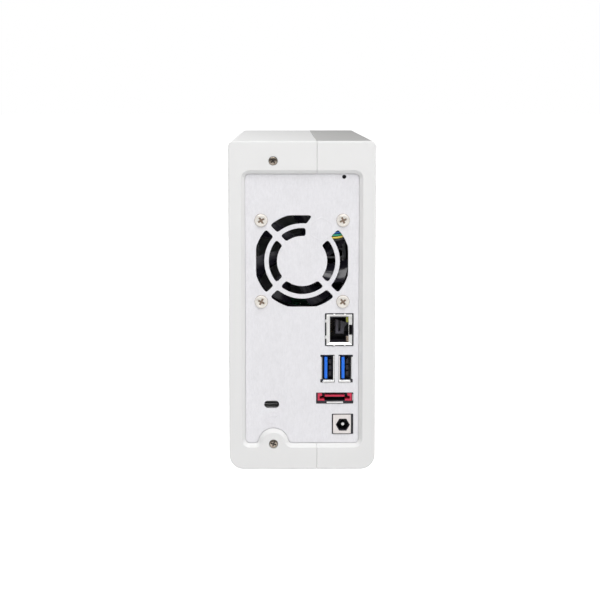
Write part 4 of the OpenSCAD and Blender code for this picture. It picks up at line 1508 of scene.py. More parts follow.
@dataclass
class RearPlate(Assembly):
    """The recessed steel plate with its grille, cut-outs and stamped marks."""

    y: Span = (PLATE_Y - 1.0, PLATE_Y)
    fan_z: float = FAN_Z
    inner: Span = (12.3, 16.3)
    outer: Span = (18.5, 23.5)
    flat: float = 22.5
    spoke: float = 2.8
    corner: float = 1.25
    groove: float = 0.12
    housing: "Housing" = field(default_factory=lambda: Housing({}))

    def slot(self, radii: Span, facing: float, start: Optional[float] = None) -> list[Flat]:
        """Returns one slot of the grille between two spokes.

        Args:
            radii: its inner and outer radius.
            facing: the angle that its middle faces, in degrees.
            start: another place for its end towards the stamped mark, as a distance across.

        Returns:
            The outline around the fan's axis.
        """
        spread = [45 - math.degrees(math.asin(self.spoke / 2 / r)) for r in radii]

        def bent(radius: float, angle: float) -> Flat:
            """Returns a point of the ring, held within the flats and turned to its side."""
            along = min(radius * math.cos(math.radians(angle)), self.flat)
            across = radius * math.sin(math.radians(angle))
            turn = math.radians(facing)
            return (
                along * math.cos(turn) - across * math.sin(turn),
                along * math.sin(turn) + across * math.cos(turn))

        last = list(spread)
        if start is not None:
            last = [math.degrees(math.asin(start / radii[0])), math.degrees(math.asin(
                (start + 0.615 * (radii[1] - radii[0]) * (radii[0] > 15)) / radii[1]))]
        steps = 14
        out = [bent(radii[1], -spread[1] + (spread[1] + last[1]) * i / steps) for i in range(steps + 1)]
        back = [bent(radii[0], last[0] - (spread[0] + last[0]) * i / steps) for i in range(steps + 1)]
        return rounded(out + back, self.corner)

    def grille(self) -> list[list[Flat]]:
        """Returns the outlines of all slots, in the plate's place."""
        # the two upper slots end early, beside the stamped mark towards -X
        upper, rings = 90, ((self.inner, 1.7), (self.outer, 2.1))
        return [
            shifted(self.slot(radii, facing, early if facing == upper else None), (0, self.fan_z))
            for facing in (0, upper, 180, 270) for radii, early in rings]

    def cutouts(self) -> list[list[Flat]]:
        """Returns the outlines of the sockets, screws, lock slot and reset hole."""
        holes = [
            rectangle(*NETWORK_CUT, 0.3, steps=3),
            rectangle(*STORAGE_CUT, 0.3, steps=3),
            rectangle(*POWER_CUT, 0.35, steps=3),
            rectangle((11.3, 18.7), (33.85, 37.4), 1.7, steps=8),
            circle((-20.5, 148.0), 1.0, 24),
        ]
        holes += [self.bus_cutout(-9.5, -16.0), self.bus_cutout(-24.5, -17.95)]
        holes += [circle(screw, 2.2) for screw in FAN_SCREWS]
        holes += [circle((COVER_SCREW_X, z), 1.45, 24) for z in COVER_SCREW_ZS]
        return holes

    def bus_cutout(self, outer_x: float, inner_x: float) -> list[Flat]:
        """Returns one USB cut-out: a rectangle with square reliefs at its two outer corners.

        Args:
            outer_x: the side with the reliefs.
            inner_x: the side towards the other cut-out.

        Returns:
            The outline.
        """
        out = 1.0 if outer_x > inner_x else -1.0
        (low, high), step = BUS_CUT_Z, 0.5
        points = [
            (inner_x, low), (outer_x + out * step, low), (outer_x + out * step, low + 1.7),
            (outer_x, low + 1.7), (outer_x, high - 1.0), (outer_x + out * step, high - 1.0),
            (outer_x + out * step, high), (inner_x, high)]
        return rounded(points, 0.12, 2)

    def marks(self) -> list[bpy.types.Object]:
        """Returns the raised outlines stamped into the plate: a hexagon and a padlock."""
        high = self.y[1] + 0.22
        low = self.y[1] - 0.2
        centre = (-9.4, 122.4)
        hexagon = [
            [(centre[0] + r * math.sin(math.radians(60 * i)), centre[1] + r * math.cos(math.radians(60 * i)))
             for i in range(6)] for r in (6.1, 5.6)]
        lock_x, lock_z = 14.8, 28.9
        body = [
            rectangle((lock_x - 2.4, lock_x + 2.4), (lock_z - 2.7, lock_z + 0.9), 0.5),
            rectangle((lock_x - 1.95, lock_x + 1.95), (lock_z - 2.25, lock_z + 0.45), 0.3)]
        shackle = (
            [(lock_x + 1.6, lock_z + 0.95)] + arc((lock_x, lock_z + 1.9), 1.6, 0, 180, 12)
            + [(lock_x - 1.6, lock_z + 0.95), (lock_x - 1.15, lock_z + 0.95)]
            + arc((lock_x, lock_z + 1.9), 1.15, 180, 0, 12) + [(lock_x + 1.15, lock_z + 0.95)])
        return [
            sheet(name, outlines, Axis.Y, low, high, Palette.steel, edge) for name, outlines, edge in (
                ("mark_hexagon", hexagon, 0.08), ("mark_lock", body, 0.06),
                ("mark_shackle", [shackle], 0.06))]

    def build(self) -> None:
        """Builds the plate with its folded flange."""
        holes = [*self.grille(), *self.cutouts()]
        outline = rectangle((-31.5, 31.5), (9.5, 160.0), 3.0, 2.0)
        back = sheet("plate", [outline, *holes], Axis.Y, self.y[0], self.y[1] - 0.5, Palette.steel, 0.1)
        face = [(p[0], p[2]) for p in self.housing.window_ring(-self.groove, 0.0)]
        holes = [h for h in holes if all(p[1] < 155 for p in h) and all(abs(p[1] - 16.2) > 1.5 for p in h)]
        front = sheet("plate", [face, *holes], Axis.Y, self.y[1] - 0.52, self.y[1], Palette.steel, 0.14)
        flange = sheet(
            "flange", [
                rectangle((98.75, 109.3), (16.5, 148.5), 0.6),
                *(circle(screw, 1.4, 24) for screw in FLANGE_SCREWS)],
            Axis.X, -30.2, -29.2, Palette.steel)
        self.fit(joined("rear_plate_steel", [front, back, flange, *self.marks()]), "chassis",
                 "galvanised_steel", "rear_plate")


@dataclass
class Screws(Assembly):
    """Every screw, made from cross-recessed templates."""

    turn: dict[Axis, Scatter] = field(default_factory=dict)
    reach: float = 0.8

    def head(self, axis: Axis, radius: float, height: float, shank_r: float, length: float,
             flip: bool = False) -> bpy.types.Object:
        """Makes one screw at the origin: its head points along the axis and its shank back.

        Args:
            axis: the screw's axis.
            radius: its head's radius.
            height: its head's height.
            shank_r: its shank's radius.
            length: its shank's length.
            flip: True points the head the other way.

        Returns:
            The template.
        """
        sign = -1.0 if flip else 1.0
        profile = [
            (0, height), (radius * 0.7, height * 0.98), (radius * 0.88, height * 0.86),
            (radius, height * 0.5), (radius, 0.04), (radius * 0.96, 0.0), (shank_r, 0.0)]
        pitch = 0.5
        for i in range(int((length - 1.0) / pitch)):
            profile += [(shank_r, -0.3 - i * pitch), (shank_r * 0.86, -0.3 - (i + 0.5) * pitch)]
        profile += [(shank_r * 0.86, -length + 0.5), (shank_r * 0.4, -length), (0, -length)]
        profile = [(r, sign * level) for r, level in profile]
        body = Stock().turned((0, 0, 0), axis, profile, 28).done("screw", Palette.zinc)
        carve(body, self.cross(axis, radius * self.reach, (
            (sign * height * 0.15, 0.4), (sign * height * 1.3, 1.1)), Palette.zinc))
        return body

    def cross(self, axis: Axis, reach: float, ends: Sequence[Flat], finish: Finish) -> bpy.types.Object:
        """Returns a tapered cross around the axis, to cut a recess or to fill its bottom.

        Args:
            axis: the screw's axis.
            reach: half the length of the widest cross.
            ends: the level and the share of the reach at both ends.
            finish: its finish.

        Returns:
            The cross.
        """
        rings = []
        for level, grow in ends:
            long, half = reach * grow, reach * (0.13 + 0.09 * grow)
            cross = [
                (long, -half), (long, half), (half, half), (half, long), (-half, long), (-half, half),
                (-long, half), (-long, -half), (-half, -half), (-half, -long), (half, -long), (half, -half)]
            rings.append([axis.lay(corner, level) for corner in cross])
        return Stock().loft(rings).done("cross", finish)

    def spread(self, name: str, nodes: Sequence[str], body: str, finish: Finish,
               template: bpy.types.Object, axis: Axis, places: Sequence[Sequence[float]],
               seed: int) -> None:
        """Copies a template to its places and puts the result on its body.

        Args:
            name: the piece's name.
            nodes: the CAD nodes that it replaces.
            body: the body that it rides on.
            finish: its finish.
            template: the shape that is copied.
            axis: the screws' axis.
            places: where the heads' undersides are, in millimetres.
            seed: the seed of their turns.
        """
        tree = self.turn.setdefault(axis, Scatter(axis))
        obj = tree.run(name, point_cloud(name, places), template, finish, {"Seed": seed})
        self.fit(obj, body, finish.slot, *nodes)

    def pits(self, name: str, body: str, finish: Finish, radius: float, height: float,
             places: Sequence[Sequence[float]], seed: int) -> None:
        """Paints shade into the bottoms of a group's recesses and paints a contact shadow as a dark line
        around the heads.

        Args:
            name: the piece's name.
            body: the body that it rides on.
            finish: the dark finish of the painted shade.
            radius: the heads' radius.
            height: the heads' height.
            places: where the heads' undersides are.
            seed: the seed of the heads' turns.
        """
        # a dark cross in the bottom of each recess: painted shade
        cross = self.cross(Axis.Y, radius * self.reach * 0.98, (
            (height * 0.18, 0.42), (height * 0.62, 0.67)), finish)
        # a thin dark ring on the plate around each head: painted contact shadow
        ring = Stock().turned((0, 0, 0), Axis.Y, [
            (radius - 0.06, 0.03), (radius - 0.06, 0.14), (radius + 0.1, 0.14), (radius + 0.13, 0.03)],
            28).done("ring", finish)
        self.spread(name, [], body, finish, joined("pit", [cross, ring]), Axis.Y, places, seed)

    def build(self) -> None:
        """Builds every group of screws."""
        seen = (
            ("fan", "chassis", Palette.nickel, Palette.nickel_pit, (3.1, 1.3), (2.0, 10), 4,
             [(x, PLATE_Y, z) for x, z in FAN_SCREWS]),
            ("cover", "slide_cover", Palette.dark_zinc, Palette.zinc_pit, (2.05, 1.05), (1.25, 6), 3,
             [(COVER_SCREW_X, 110.95, z) for z in COVER_SCREW_ZS]))
        for name, body, finish, dark, head, shank, seed, places in seen:
            self.spread(f"{name}_screws_cross", [f"{name}_screws"], body, finish,
                        self.head(Axis.Y, *head, *shank), Axis.Y, places, seed)
            # painted shade in the recesses and a painted contact shadow around each head
            self.pits(f"{name}_screws_pits", body, dark, *head, places, seed)
        groups = (
            ("board", 7, 5, [(BOARD_X, y, z) for y, z in BOARD_SCREWS]),
            ("plate", 3, 6, [(-29.2, y, z) for y, z in FLANGE_SCREWS]),
            ("bracket", 5, 7, [(-5.0, 50, z) for z in (20, 144)]
             + [(-26.0, y, z) for y, z in BRACKET_SCREWS]))
        for name, length, seed, places in groups:
            self.spread(f"{name}_screws_cross", [f"{name}_screws"], "chassis", Palette.zinc,
                        self.head(Axis.X, 2.5, 1.5, 1.15, length), Axis.X, places, seed)


@dataclass
class Fan(Assembly):
    """The fan behind the grille: frame, wheel, motor and wires."""

    y: Span = (93.75, 108.75)
    z: float = FAN_Z
    bore: float = 24.0
    hub_r: float = 12.3
    blade_r: float = 23.1
    blades: int = 7
    chord: Taper = (9.2, 4.0)
    pitch: Taper = (42, -12)
    sweep: Taper = (4, -16)
    thick: Taper = (1.05, -0.45)
    camber: float = 0.9
    struts: tuple[float, float, float] = (39.0, 159.0, 279.0)

    def turned_by(self, angle: float) -> Matrix:
        """Returns the move from the origin to the fan's axis, turned by degrees around it."""
        return Matrix.Translation((0, 0, self.z * MM)) @ Matrix.Rotation(math.radians(angle), 4, "Y")

    def frame_part(self) -> None:
        """Builds the square frame with flanges, barrel, struts, hub and bearing tube."""
        low, high = self.y
        square = shifted(rectangle((-25, 25), (-25, 25), 3.0), (0, self.z))
        holes = [circle(screw, 2.15) for screw in FAN_SCREWS]
        bore = circle((0, self.z), self.bore, 96)
        parts = [
            sheet("flange", [square, bore, *holes], Axis.Y, a, b, Palette.fan, 0.3)
            for a, b in ((low, low + 2.6), (high - 2.6, high))]
        parts.append(Stock().turned((0, 0, self.z), Axis.Y, [
            (self.bore, low + 0.4), (self.bore, high - 0.4), (self.bore + 0.9, high - 0.4),
            (self.bore + 0.9, low + 0.4)], 96).done("barrel", Palette.fan))
        parts.append(Stock().turned((0, 0, self.z), Axis.Y, [
            (0, high), (self.hub_r - 0.5, high), (self.hub_r, high - 0.5), (self.hub_r, high - 3.1),
            (4.5, high - 3.1), (4.5, low + 3), (3, low + 3), (3, high - 1), (0, high - 1)],
            48).done("hub", Palette.fan))
        for angle in self.struts:
            turn = self.turned_by(angle - 180)
            strut = Stock().box((self.hub_r - 1, self.bore + 0.4), (high - 3.1, high - 1.6), (-2.6, 2.6))
            obj = strut.done("strut", Palette.fan, 0.3)
            obj.data.transform(turn)
            parts.append(obj)
        for x, z in FAN_SCREWS:
            parts.append(Stock().turned((x, 0, z), Axis.Y, [
                (3.4, low + 1), (3.4, high - 1), (2.15, high - 1), (2.15, low + 1)],
                28).done("corner", Palette.fan))
        frame = joined("fan_frame_square", parts)
        for x, y, z in (
                ((-26, -19), (high - 1.9, high + 1), (116.4, 125.6)),
                ((-26, -22), (low - 1, high + 1), (119.2, 125.6))):
            carve(frame, Stock().box(x, y, z).done("channel", Palette.fan))
        self.fit(frame, "chassis", "fan_plastic", "fan_frame")

    def blade(self) -> bpy.types.Object:
        """Returns one curved, tapering blade around the origin.

        Chord, pitch, sweep and thickness are each a value at the hub and a gain up to the tip.
        """
        rings = []
        for i in range(9):
            t = i / 8
            radius = self.hub_r - 0.5 + (self.blade_r - self.hub_r + 0.5) * t
            chord, turn, lean, thick = (
                at_hub + gain * t for at_hub, gain in (self.chord, self.pitch, self.sweep, self.thick))
            pitch, sweep = math.radians(turn), math.radians(lean)
            section = []
            for k in range(20):
                a = 2 * math.pi * k / 20
                u = math.cos(a) * chord / 2
                v = math.sin(a) * thick / 2 + self.camber * (1 - (2 * u / chord) ** 2)
                along = u * math.cos(pitch) - v * math.sin(pitch)
                depth = u * math.sin(pitch) + v * math.cos(pitch)
                angle = sweep + along / radius
                section.append((radius * math.cos(angle), depth, radius * math.sin(angle)))
            rings.append(section)
        return Stock().loft(rings).done("blade", Palette.fan)

    def wheel(self, ring: Ring) -> None:
        """Builds the hub and its blades, which turn together."""
        low = self.y[0]
        blades = ring.run("blades", bpy.data.meshes.new("blades"), self.blade(), Palette.fan, {
            "Count": self.blades, "Centre Y": (low + 6) * MM, "Centre Z": self.z * MM})
        hub = Stock().turned((0, 0, self.z), Axis.Y, [
            (0, low + 0.6), (self.hub_r - 1.2, low + 0.6), (self.hub_r - 0.3, low + 0.95),
            (self.hub_r, low + 1.8), (self.hub_r, low + 11.4), (self.hub_r - 1.3, low + 11.4),
            (self.hub_r - 1.3, low + 1.9), (0, low + 1.9)], 64).done("hub", Palette.fan)
        self.fit(joined("fan_wheel_blades", [hub, blades]), "fan_wheel", "fan_plastic", "fan_rotor")

    def motor(self) -> None:
        """Builds the shaft, the bearing and the wound stator."""
        low = self.y[0]
        shaft = Stock().turned((0, 0, self.z), Axis.Y, [
            (0, low + 1.9), (1.0, low + 1.9), (1.0, low + 12.1), (0.8, low + 12.4), (0, low + 12.4)], 32)
        self.fit(shaft.done("fan_shaft_ground", Palette.bright), "fan_wheel", "bright_steel", "fan_shaft")
        sleeve = Stock().turned((0, 0, self.z), Axis.Y, [
            (1.03, low + 3.2), (1.25, low + 3), (2.7, low + 3), (3.0, low + 3.3), (3.0, low + 11.7),
            (2.7, low + 12), (1.25, low + 12), (1.03, low + 11.8)], 40)
        self.fit(sleeve.done("fan_bearing_sleeve", Palette.bronze), "chassis", "bearing_bronze",
                 "fan_bearing")
        parts = [Stock().turned((0, 0, self.z), Axis.Y, [
            (4.5, low + 4.5), (6.2, low + 4.5), (6.2, low + 11), (4.5, low + 11)], 32).done(
                "core", Palette.winding)]
        for i in range(4):
            coil = Stock().box((5.5, 9.4), (low + 5, low + 10.5), (-2.2, 2.2)).done(
                "coil", Palette.winding, 0.8, 3)
            tooth = Stock().prism(
                arc((0, 0), 10.0, -32, 32, 8) + arc((0, 0), 9.0, 32, -32, 8), Axis.Y, low + 5.4, low + 10.2)
            shoe = tooth.done("shoe", Palette.winding, 0.1)
            turn = self.turned_by(90 * i)
            for part in (coil, shoe):
                part.data.transform(turn)
                parts.append(part)
        self.fit(joined("fan_stator_wound", parts), "chassis", "copper_winding", "fan_stator")

    def wires(self) -> None:
        """Builds the four wires from the hub, along one strut and on to the plug."""
        route = [
            (-8.4, 107.9, 117), (-11.5, 107.9, 118.3), (-14.5, 107.9, 118.65), (-17.5, 107.9, 118.8),
            (-20, 107.7, 119.5), (-22.4, 107.4, 121), (-23.7, 106.2, 122), (-24.1, 104, 122.5),
            (-24.1, 97, 122.6), (-23.8, 93, 122.6), (-23, 89.5, 122.6), (-22.8, 86, 122.6)]
        spread = [(0.77, 0.64), (0.45, 0.9), (0.1, 1.0)] + [(0.0, 1.0)] * 9
        finishes = (Palette.wire_black, Palette.wire_yellow, Palette.wire_green, Palette.wire_blue)
        for i, finish in enumerate(finishes):
            away = (i - 1.5) * 1.25
            points = [
                Vector((p[0] + away * s[0], p[1], p[2] + away * s[1])) for p, s in zip(route, spread)]
            wire = Stock().tube(self.smoothed(points, 4), 0.47, 14)
            colour = finish.slot.removeprefix("wire_")
            self.fit(wire.done(f"fan_lead_{colour}", finish), "chassis", finish.slot, f"fan_wire_{colour}")

    @staticmethod
    def smoothed(points: Sequence[Vector], steps: int) -> list[Vector]:
        """Returns a smooth path through points.

        Args:
            points: the points.
            steps: how many stretches lie between two of them.

        Returns:
            The path.
        """
        path = []
        for i in range(len(points) - 1):
            a = points[max(i - 1, 0)]
            b, c = points[i], points[i + 1]
            d = points[min(i + 2, len(points) - 1)]
            for k in range(steps):
                t = k / steps
                path.append(0.5 * (
                    2 * b + (c - a) * t + (2 * a - 5 * b + 4 * c - d) * t ** 2
                    + (3 * b - a - 3 * c + d) * t ** 3))
        return path + [points[-1]]

    def build(self, ring: Ring) -> None:
        """Builds every piece of the fan."""
        self.frame_part()
        self.wheel(ring)
        self.motor()
        self.wires()


@dataclass
class Sockets(Assembly):
    """The sockets in the rear plate."""

    face_y: float = 110.55
    back_y: float = 108.6
    sheet_t: float = 0.3

    def can(self, x: Span, z: Span, depth: float, front: float) -> bpy.types.Object:
        """Returns a folded metal can, open towards +Y.

        Args:
            x: its limits across.
            z: its limits up.
            depth: how deep it is.
            front: where its open end is.

        Returns:
            The can.
        """
        t = self.sheet_t
        outer = rectangle(x, z, 0.35, steps=4)
        inner = rectangle((x[0] + t, x[1] - t), (z[0] + t, z[1] - t), 0.12, steps=4)
        middle = [((a[0] + b[0]) / 2, (a[1] + b[1]) / 2) for a, b in zip(outer, inner)]
        back = front - depth
        rings = [(outer, back), (outer, front - 0.08), (middle, front), (inner, front - 0.08),
                 (inner, back + t)]
        return Stock().loft(at_depths(rings)).done("can", Palette.tin)

    def funnel(self, x: Span, z: Span, inner_x: Span, inner_z: Span, depth: float) -> bpy.types.Object:
        """Returns a metal frame whose sides slope inwards from its front edge.

        Args:
            x: its outer limits across.
            z: its outer limits up.
            inner_x: the opening's limits across.
            inner_z: the opening's limits up.
            depth: how far the slope goes in.

        Returns:
            The frame.
        """
        t, front = self.sheet_t, self.face_y
        outer = rectangle(x, z, 0.2, steps=2)
        lip = rectangle((x[0] + 0.15, x[1] - 0.15), (z[0] + 0.15, z[1] - 0.15), 0.12, steps=2)
        inner = rectangle(inner_x, inner_z, 0.1, steps=2)
        wall = rectangle((x[0] + t, x[1] - t), (z[0] + t, z[1] - t), 0.1, steps=2)
        rings = [(outer, front - depth - 1.5), (outer, front - 0.12), (lip, front),
                 (inner, front - depth), (inner, front - depth - t), (wall, front - t - 0.1),
                 (wall, front - depth - 1.5)]
        return Stock().loft(at_depths(rings), True).done("funnel", Palette.tin)

    def tab(self, x: Span, y: Span, z: Span) -> bpy.types.Object:
        """Returns one small spring tab with rounded edges."""
        return Stock().box(x, y, z).done("tab", Palette.tin, 0.08)

    def network(self, row: Row) -> None:
        """Builds the network socket: can, sloped frame, insert, contacts and lamps."""
        x, z = (-24.55, -11.95), (65.35, 80.35)
        mid = (z[0] + z[1]) / 2 + 0.05
        frame = self.funnel(x, z, (-22.85, -13.65), (66.5, 79.35), 0.8)
        carve(frame, Stock().box((-26, -23.0), (self.face_y - 4, self.face_y + 1), (70.4, 75.4)).done(
            "notch", Palette.tin))
        parts = [self.can((-25.2, x[1]), z, 15.0, self.face_y - 2.0), frame]
        front = (self.face_y - 1.5, self.face_y - 0.1)
        for spot in (-15.8, -21.0):
            parts.append(self.tab((spot - 0.45, spot + 0.45), front, (z[1] - 0.1, z[1] + 0.45)))
            parts.append(self.tab((spot - 0.45, spot + 0.45), front, (z[0] - 0.4, z[0] + 0.1)))
        for spot in (69.2, 77.2):
            parts.append(self.tab((x[1] - 0.1, x[1] + 0.6), front, (spot - 0.7, spot + 0.7)))
        self.fit(joined("network_shield", parts), "chassis", "tin_plate", "rj45_shield")
        cavity = rounded([
            (-24.2, mid - 2.2), (-23.0, mid - 2.2), (-23.0, mid - 3.2), (-21.6, mid - 3.2),
            (-21.6, mid - 6.0), (-13.7, mid - 6.0), (-13.7, mid + 6.0), (-21.6, mid + 6.0),
            (-21.6, mid + 3.2), (-23.0, mid + 3.2), (-23.0, mid + 2.2), (-24.2, mid + 2.2)], 0.12, 2)
        lamps = [rectangle((-23.5, -21.55), (c - 1.4, c + 1.4), 0.15, steps=2) for c in (68.2, 77.8)]
        block = rectangle((x[0] + 0.4, x[1] - 0.4), (z[0] + 0.4, z[1] - 0.4), 0.2, steps=2)
        face = sheet("insert_front", [block, cavity, *lamps], Axis.Y, self.face_y - 12.5,
                     self.face_y - 1.3, Palette.black, 0.1)
        rear = Stock().box((x[0] + 0.4, x[1] - 0.4), (self.face_y - 16.6, self.face_y - 12.45),
                           (z[0] + 0.4, z[1] - 0.4)).done("insert_rear", Palette.black)
        self.fit(joined("network_insert", [face, rear]), "chassis", "black_plastic", "rj45_insert")
        core = Stock().prism([
            (-16.5, 70.2), (-16.5, 78.7), (-22.6, 78.7), (-22.6, 75.2), (-20.9, 73.4), (-20.7, 70.2)],
            Axis.Y, self.face_y - 12.6, self.face_y - 5.0).done("network_core", Palette.smoke, 0.2)
        carve(core, Stock().box((-19.0, -17.9), (self.face_y - 9, self.face_y), (71.4, 77.6)).done(
            "slot", Palette.smoke))
        dress(core, Palette.smoke)
        self.fit(core, "chassis", "black_plastic")
        wire = Stock().prism(
            rounded([(0, 0), (0, -0.4), (-2.2, -8.0), (-2.5, -7.8)], 0.1, 2), Axis.Z, -0.2, 0.2)
        pitch = 1.02
        contacts = row.along("network_contacts", wire.done("contact", Palette.gold), Palette.gold, 8,
                             (-13.8, self.face_y - 3.0, mid - 3.5 * pitch), (0, 0, pitch))
        self.fit(contacts, "chassis", "gold_plate", "rj45_contacts")
        lenses = [
            Stock().box((-23.45, -21.6), (self.face_y - 8, self.face_y - 1.1), (c - 1.35, c + 1.35)).done(
                "lamp", Palette.resin, 0.25, 3) for c in (68.2, 77.8)]
        self.fit(joined("network_lamps", lenses), "chassis", "led_resin", "rj45_leds")

    def serial_bus(self) -> None:
        """Builds the stacked pair of USB sockets: can, trays, springs, tongues, blocks and ribs."""
        z = (46.4, 60.4)
        parts = [self.can((-25.2, -8.7), z, 15.0, self.back_y)]
        blues, blacks = [], []
        for outer, inner in ((-9.55, -15.95), (-24.45, -18.0)):
            out = 1.0 if outer > inner else -1.0
            side = sorted((inner + out * 0.04, inner + out * 0.62))
            parts.append(self.tab(side, (self.back_y - 0.6, self.face_y - 0.95), (z[0] + 1.3, z[1] - 0.6)))
            left, right = sorted((inner + out * 0.15, outer - out * 0.75))
            low, high = z[0] + 0.25, z[0] + 1.35
            tray = Stock().loft([
                [(left, lower_y, low), (right, lower_y, low), (right, upper_y, high), (left, upper_y, high)]
                for lower_y, upper_y in (
                    (self.face_y - 0.4, self.face_y - 0.75), (self.back_y - 0.6, self.back_y - 0.6))])
            parts.append(tray.done("tray", Palette.tin, 0.15))
            wall = sorted((outer - out * 0.05, outer - out * 0.3))
            parts.append(self.tab(wall, (self.back_y - 0.5, self.face_y - 0.6), (z[0] + 1.9, z[1] - 1.2)))
            top = max(outer, inner) - 1.42
            blues.append(Stock().box(
                (top - 1.52, top), (self.face_y - 13.1, self.face_y - 0.9), (48.5, 59.2)).done(
                    "tongue", Palette.blue, 0.3, 3))
            blacks.append(Stock().box(sorted((outer, inner)), (self.face_y - 15.5, self.face_y - 9.0),
                                      (z[0] + 0.4, z[1] - 0.4)).done("block", Palette.black))
            for c in (z[0] + 3.2, z[0] + 6.2, z[0] + 9.2):
                blacks.append(Stock().box(
                    (top - 3.4, top - 2.3), (self.face_y - 9.5, self.face_y - 3.0), (c, c + 2.2)).done(
                        "rib", Palette.black, 0.1))
        self.fit(joined("bus_shield", parts), "chassis", "tin_plate", "usb_shield")
        self.fit(joined("bus_tongues", blues), "chassis", "blue_plastic", "usb_insulator")
        self.fit(joined("bus_blocks", blacks), "chassis", "black_plastic")

    def storage_bus(self) -> None:
        """Builds the eSATA socket: can with a front lip, and red insert with its tongue."""
        can = self.can((-25.2, -7.0), (36.0, 41.4), 13.5, self.back_y)
        lip = self.tab((-20.15, -12.1), (self.back_y - 1, self.face_y - 0.3), (36.25, 37.05))
        side = self.tab((-25.15, -24.85), (self.back_y - 1, self.face_y - 0.6), (37.6, 40.9))
        self.fit(joined("drive_bus_shield", [can, lip, side]), "chassis", "tin_plate", "esata_shield")
        ends = []
        for way in (1, -1):
            middle = -16.1
            flat = [(8.35, 37.5), (8.35, 41.2), (6.3, 41.2), (6.3, 39.9), (7.4, 39.9), (7.4, 38.3),
                    (5.05, 38.3), (5.05, 37.5)]
            points = rounded([(middle + way * p[0], p[1]) for p in flat], 0.12, 2)
            ends.append(Stock().prism(points, Axis.Y, self.face_y - 8, self.face_y - 0.5).done(
                "red_end", Palette.red, 0.1))
        ends.append(Stock().box((-20.95, -11.2), (self.face_y - 8.1, self.face_y - 0.8), (39.45, 40.3)).done(
            "red_tongue", Palette.red, 0.15, 2))
        self.fit(joined("drive_bus_insert", ends), "chassis", "red_plastic", "esata_insert")
        blocks = [
            Stock().box(x, (self.face_y - 14.7, front), z).done("block", Palette.black)
            for x, front, z in (
                ((-24.4, -7.8), self.face_y - 6.0, (37.55, 41.1)),
                ((-21.1, -11.1), self.face_y - 1.0, (37.42, 37.58)),
                ((-22.4, -9.8), self.face_y - 1.0, (41.2, 41.32)))]
        self.fit(joined("drive_bus_block", blocks), "chassis", "black_plastic")

    def liners(self) -> None:
        """Builds black sheets that paint shade into the gaps around the sockets inside the cut-outs."""
        parts = []
        # each black sheet stands for the shade in the gap between a socket and its cut-out
        for cut_x, cut_z, x, z in (
                (*NETWORK_CUT, (-24.57, -11.93), (65.33, 80.37)),
                (*STORAGE_CUT, (-24.47, -7.73), (37.45, 41.25)),
                (*POWER_CUT, (-24.12, -15.28), (21.08, 30.42)),
                ((-16.0, -9.0), BUS_CUT_Z, (-15.9, -9.85), (46.6, 59.95)),
                ((-25.0, -17.95), BUS_CUT_Z, (-24.15, -18.05), (46.6, 59.95))):
            outer = rectangle((cut_x[0] + 0.04, cut_x[1] - 0.04), (cut_z[0] + 0.04, cut_z[1] - 0.04), 0.2)
            parts.append(sheet("liner", [outer, rectangle(x, z, 0.1)], Axis.Y, self.back_y + 0.2,
                               self.face_y - 0.98, Palette.black))
        self.fit(joined("socket_liners", parts), "chassis", "black_plastic")

    def power(self) -> None:
        """Builds the power inlet: pale housing, six-sided opening, a black sleeve and floor of painted shade
        inside it, and pin.
        """
        centre = (-20.1, 25.45)

        def six(radius: float) -> list[Flat]:
            """Returns a hexagon around the inlet's centre."""
            return [
                (centre[0] + radius * math.cos(math.radians(60 * i)),
                 centre[1] + radius * math.sin(math.radians(60 * i))) for i in range(6)]

        face = rectangle((-24.1, -15.3), (21.1, 30.4), 0.3, steps=3)
        front = sheet("inlet_front", [face, rounded(six(3.5), 0.25, 3)], Axis.Y, self.face_y - 3,
                      self.face_y - 0.2, Palette.cream, 0.15)
        middle = sheet("inlet_middle", [face, six(3.8)], Axis.Y, self.face_y - 10.0,
                       self.face_y - 2.98, Palette.cream, 0.05)
        back = Stock().box((-24.1, -15.3), (self.face_y - 14, self.face_y - 9.95), (21.1, 30.4))
        foot = Stock().box((-25.2, -24.05), (self.face_y - 14, self.face_y - 4), (21.6, 30.0))
        parts = [front, middle, back.done("inlet_back", Palette.cream, 0.1),
                 foot.done("inlet_foot", Palette.cream, 0.1)]
        self.fit(joined("inlet_body", parts), "chassis", "cream_plastic", "dc_jack_body")
        # a black sleeve and floor inside the six-sided opening: painted shade in the hole
        profile = ((3.48, -0.55), (3.1, -0.75), (3.0, -9.6), (3.78, -9.7), (3.78, -3.0), (3.48, -2.9))
        lining = Stock().loft(at_depths([(six(r), self.face_y + y) for r, y in profile]), True)
        floor = Stock().prism(six(3.7), Axis.Y, self.face_y - 9.9, self.face_y - 9.5)
        self.fit(joined("inlet_lining", [
            lining.done("lining", Palette.black), floor.done("lining_floor", Palette.black)]),
            "chassis", "black_plastic")
        pin = Stock().turned((centre[0], 0, centre[1] + 0.25), Axis.Y, [
            (0, self.face_y - 9.6), (1.0, self.face_y - 9.6), (1.0, self.face_y - 1.7),
            (0.75, self.face_y - 1.2), (0, self.face_y - 1.1)], 28)
        self.fit(pin.done("inlet_pin", Palette.bright), "chassis", "bright_steel", "dc_jack_pin")

    def build(self, row: Row) -> None:
        """Builds every socket."""
        self.network(row)
        self.serial_bus()
        self.storage_bus()
        self.power()
        # black sheets of painted shade in the gaps around the sockets
        self.liners()


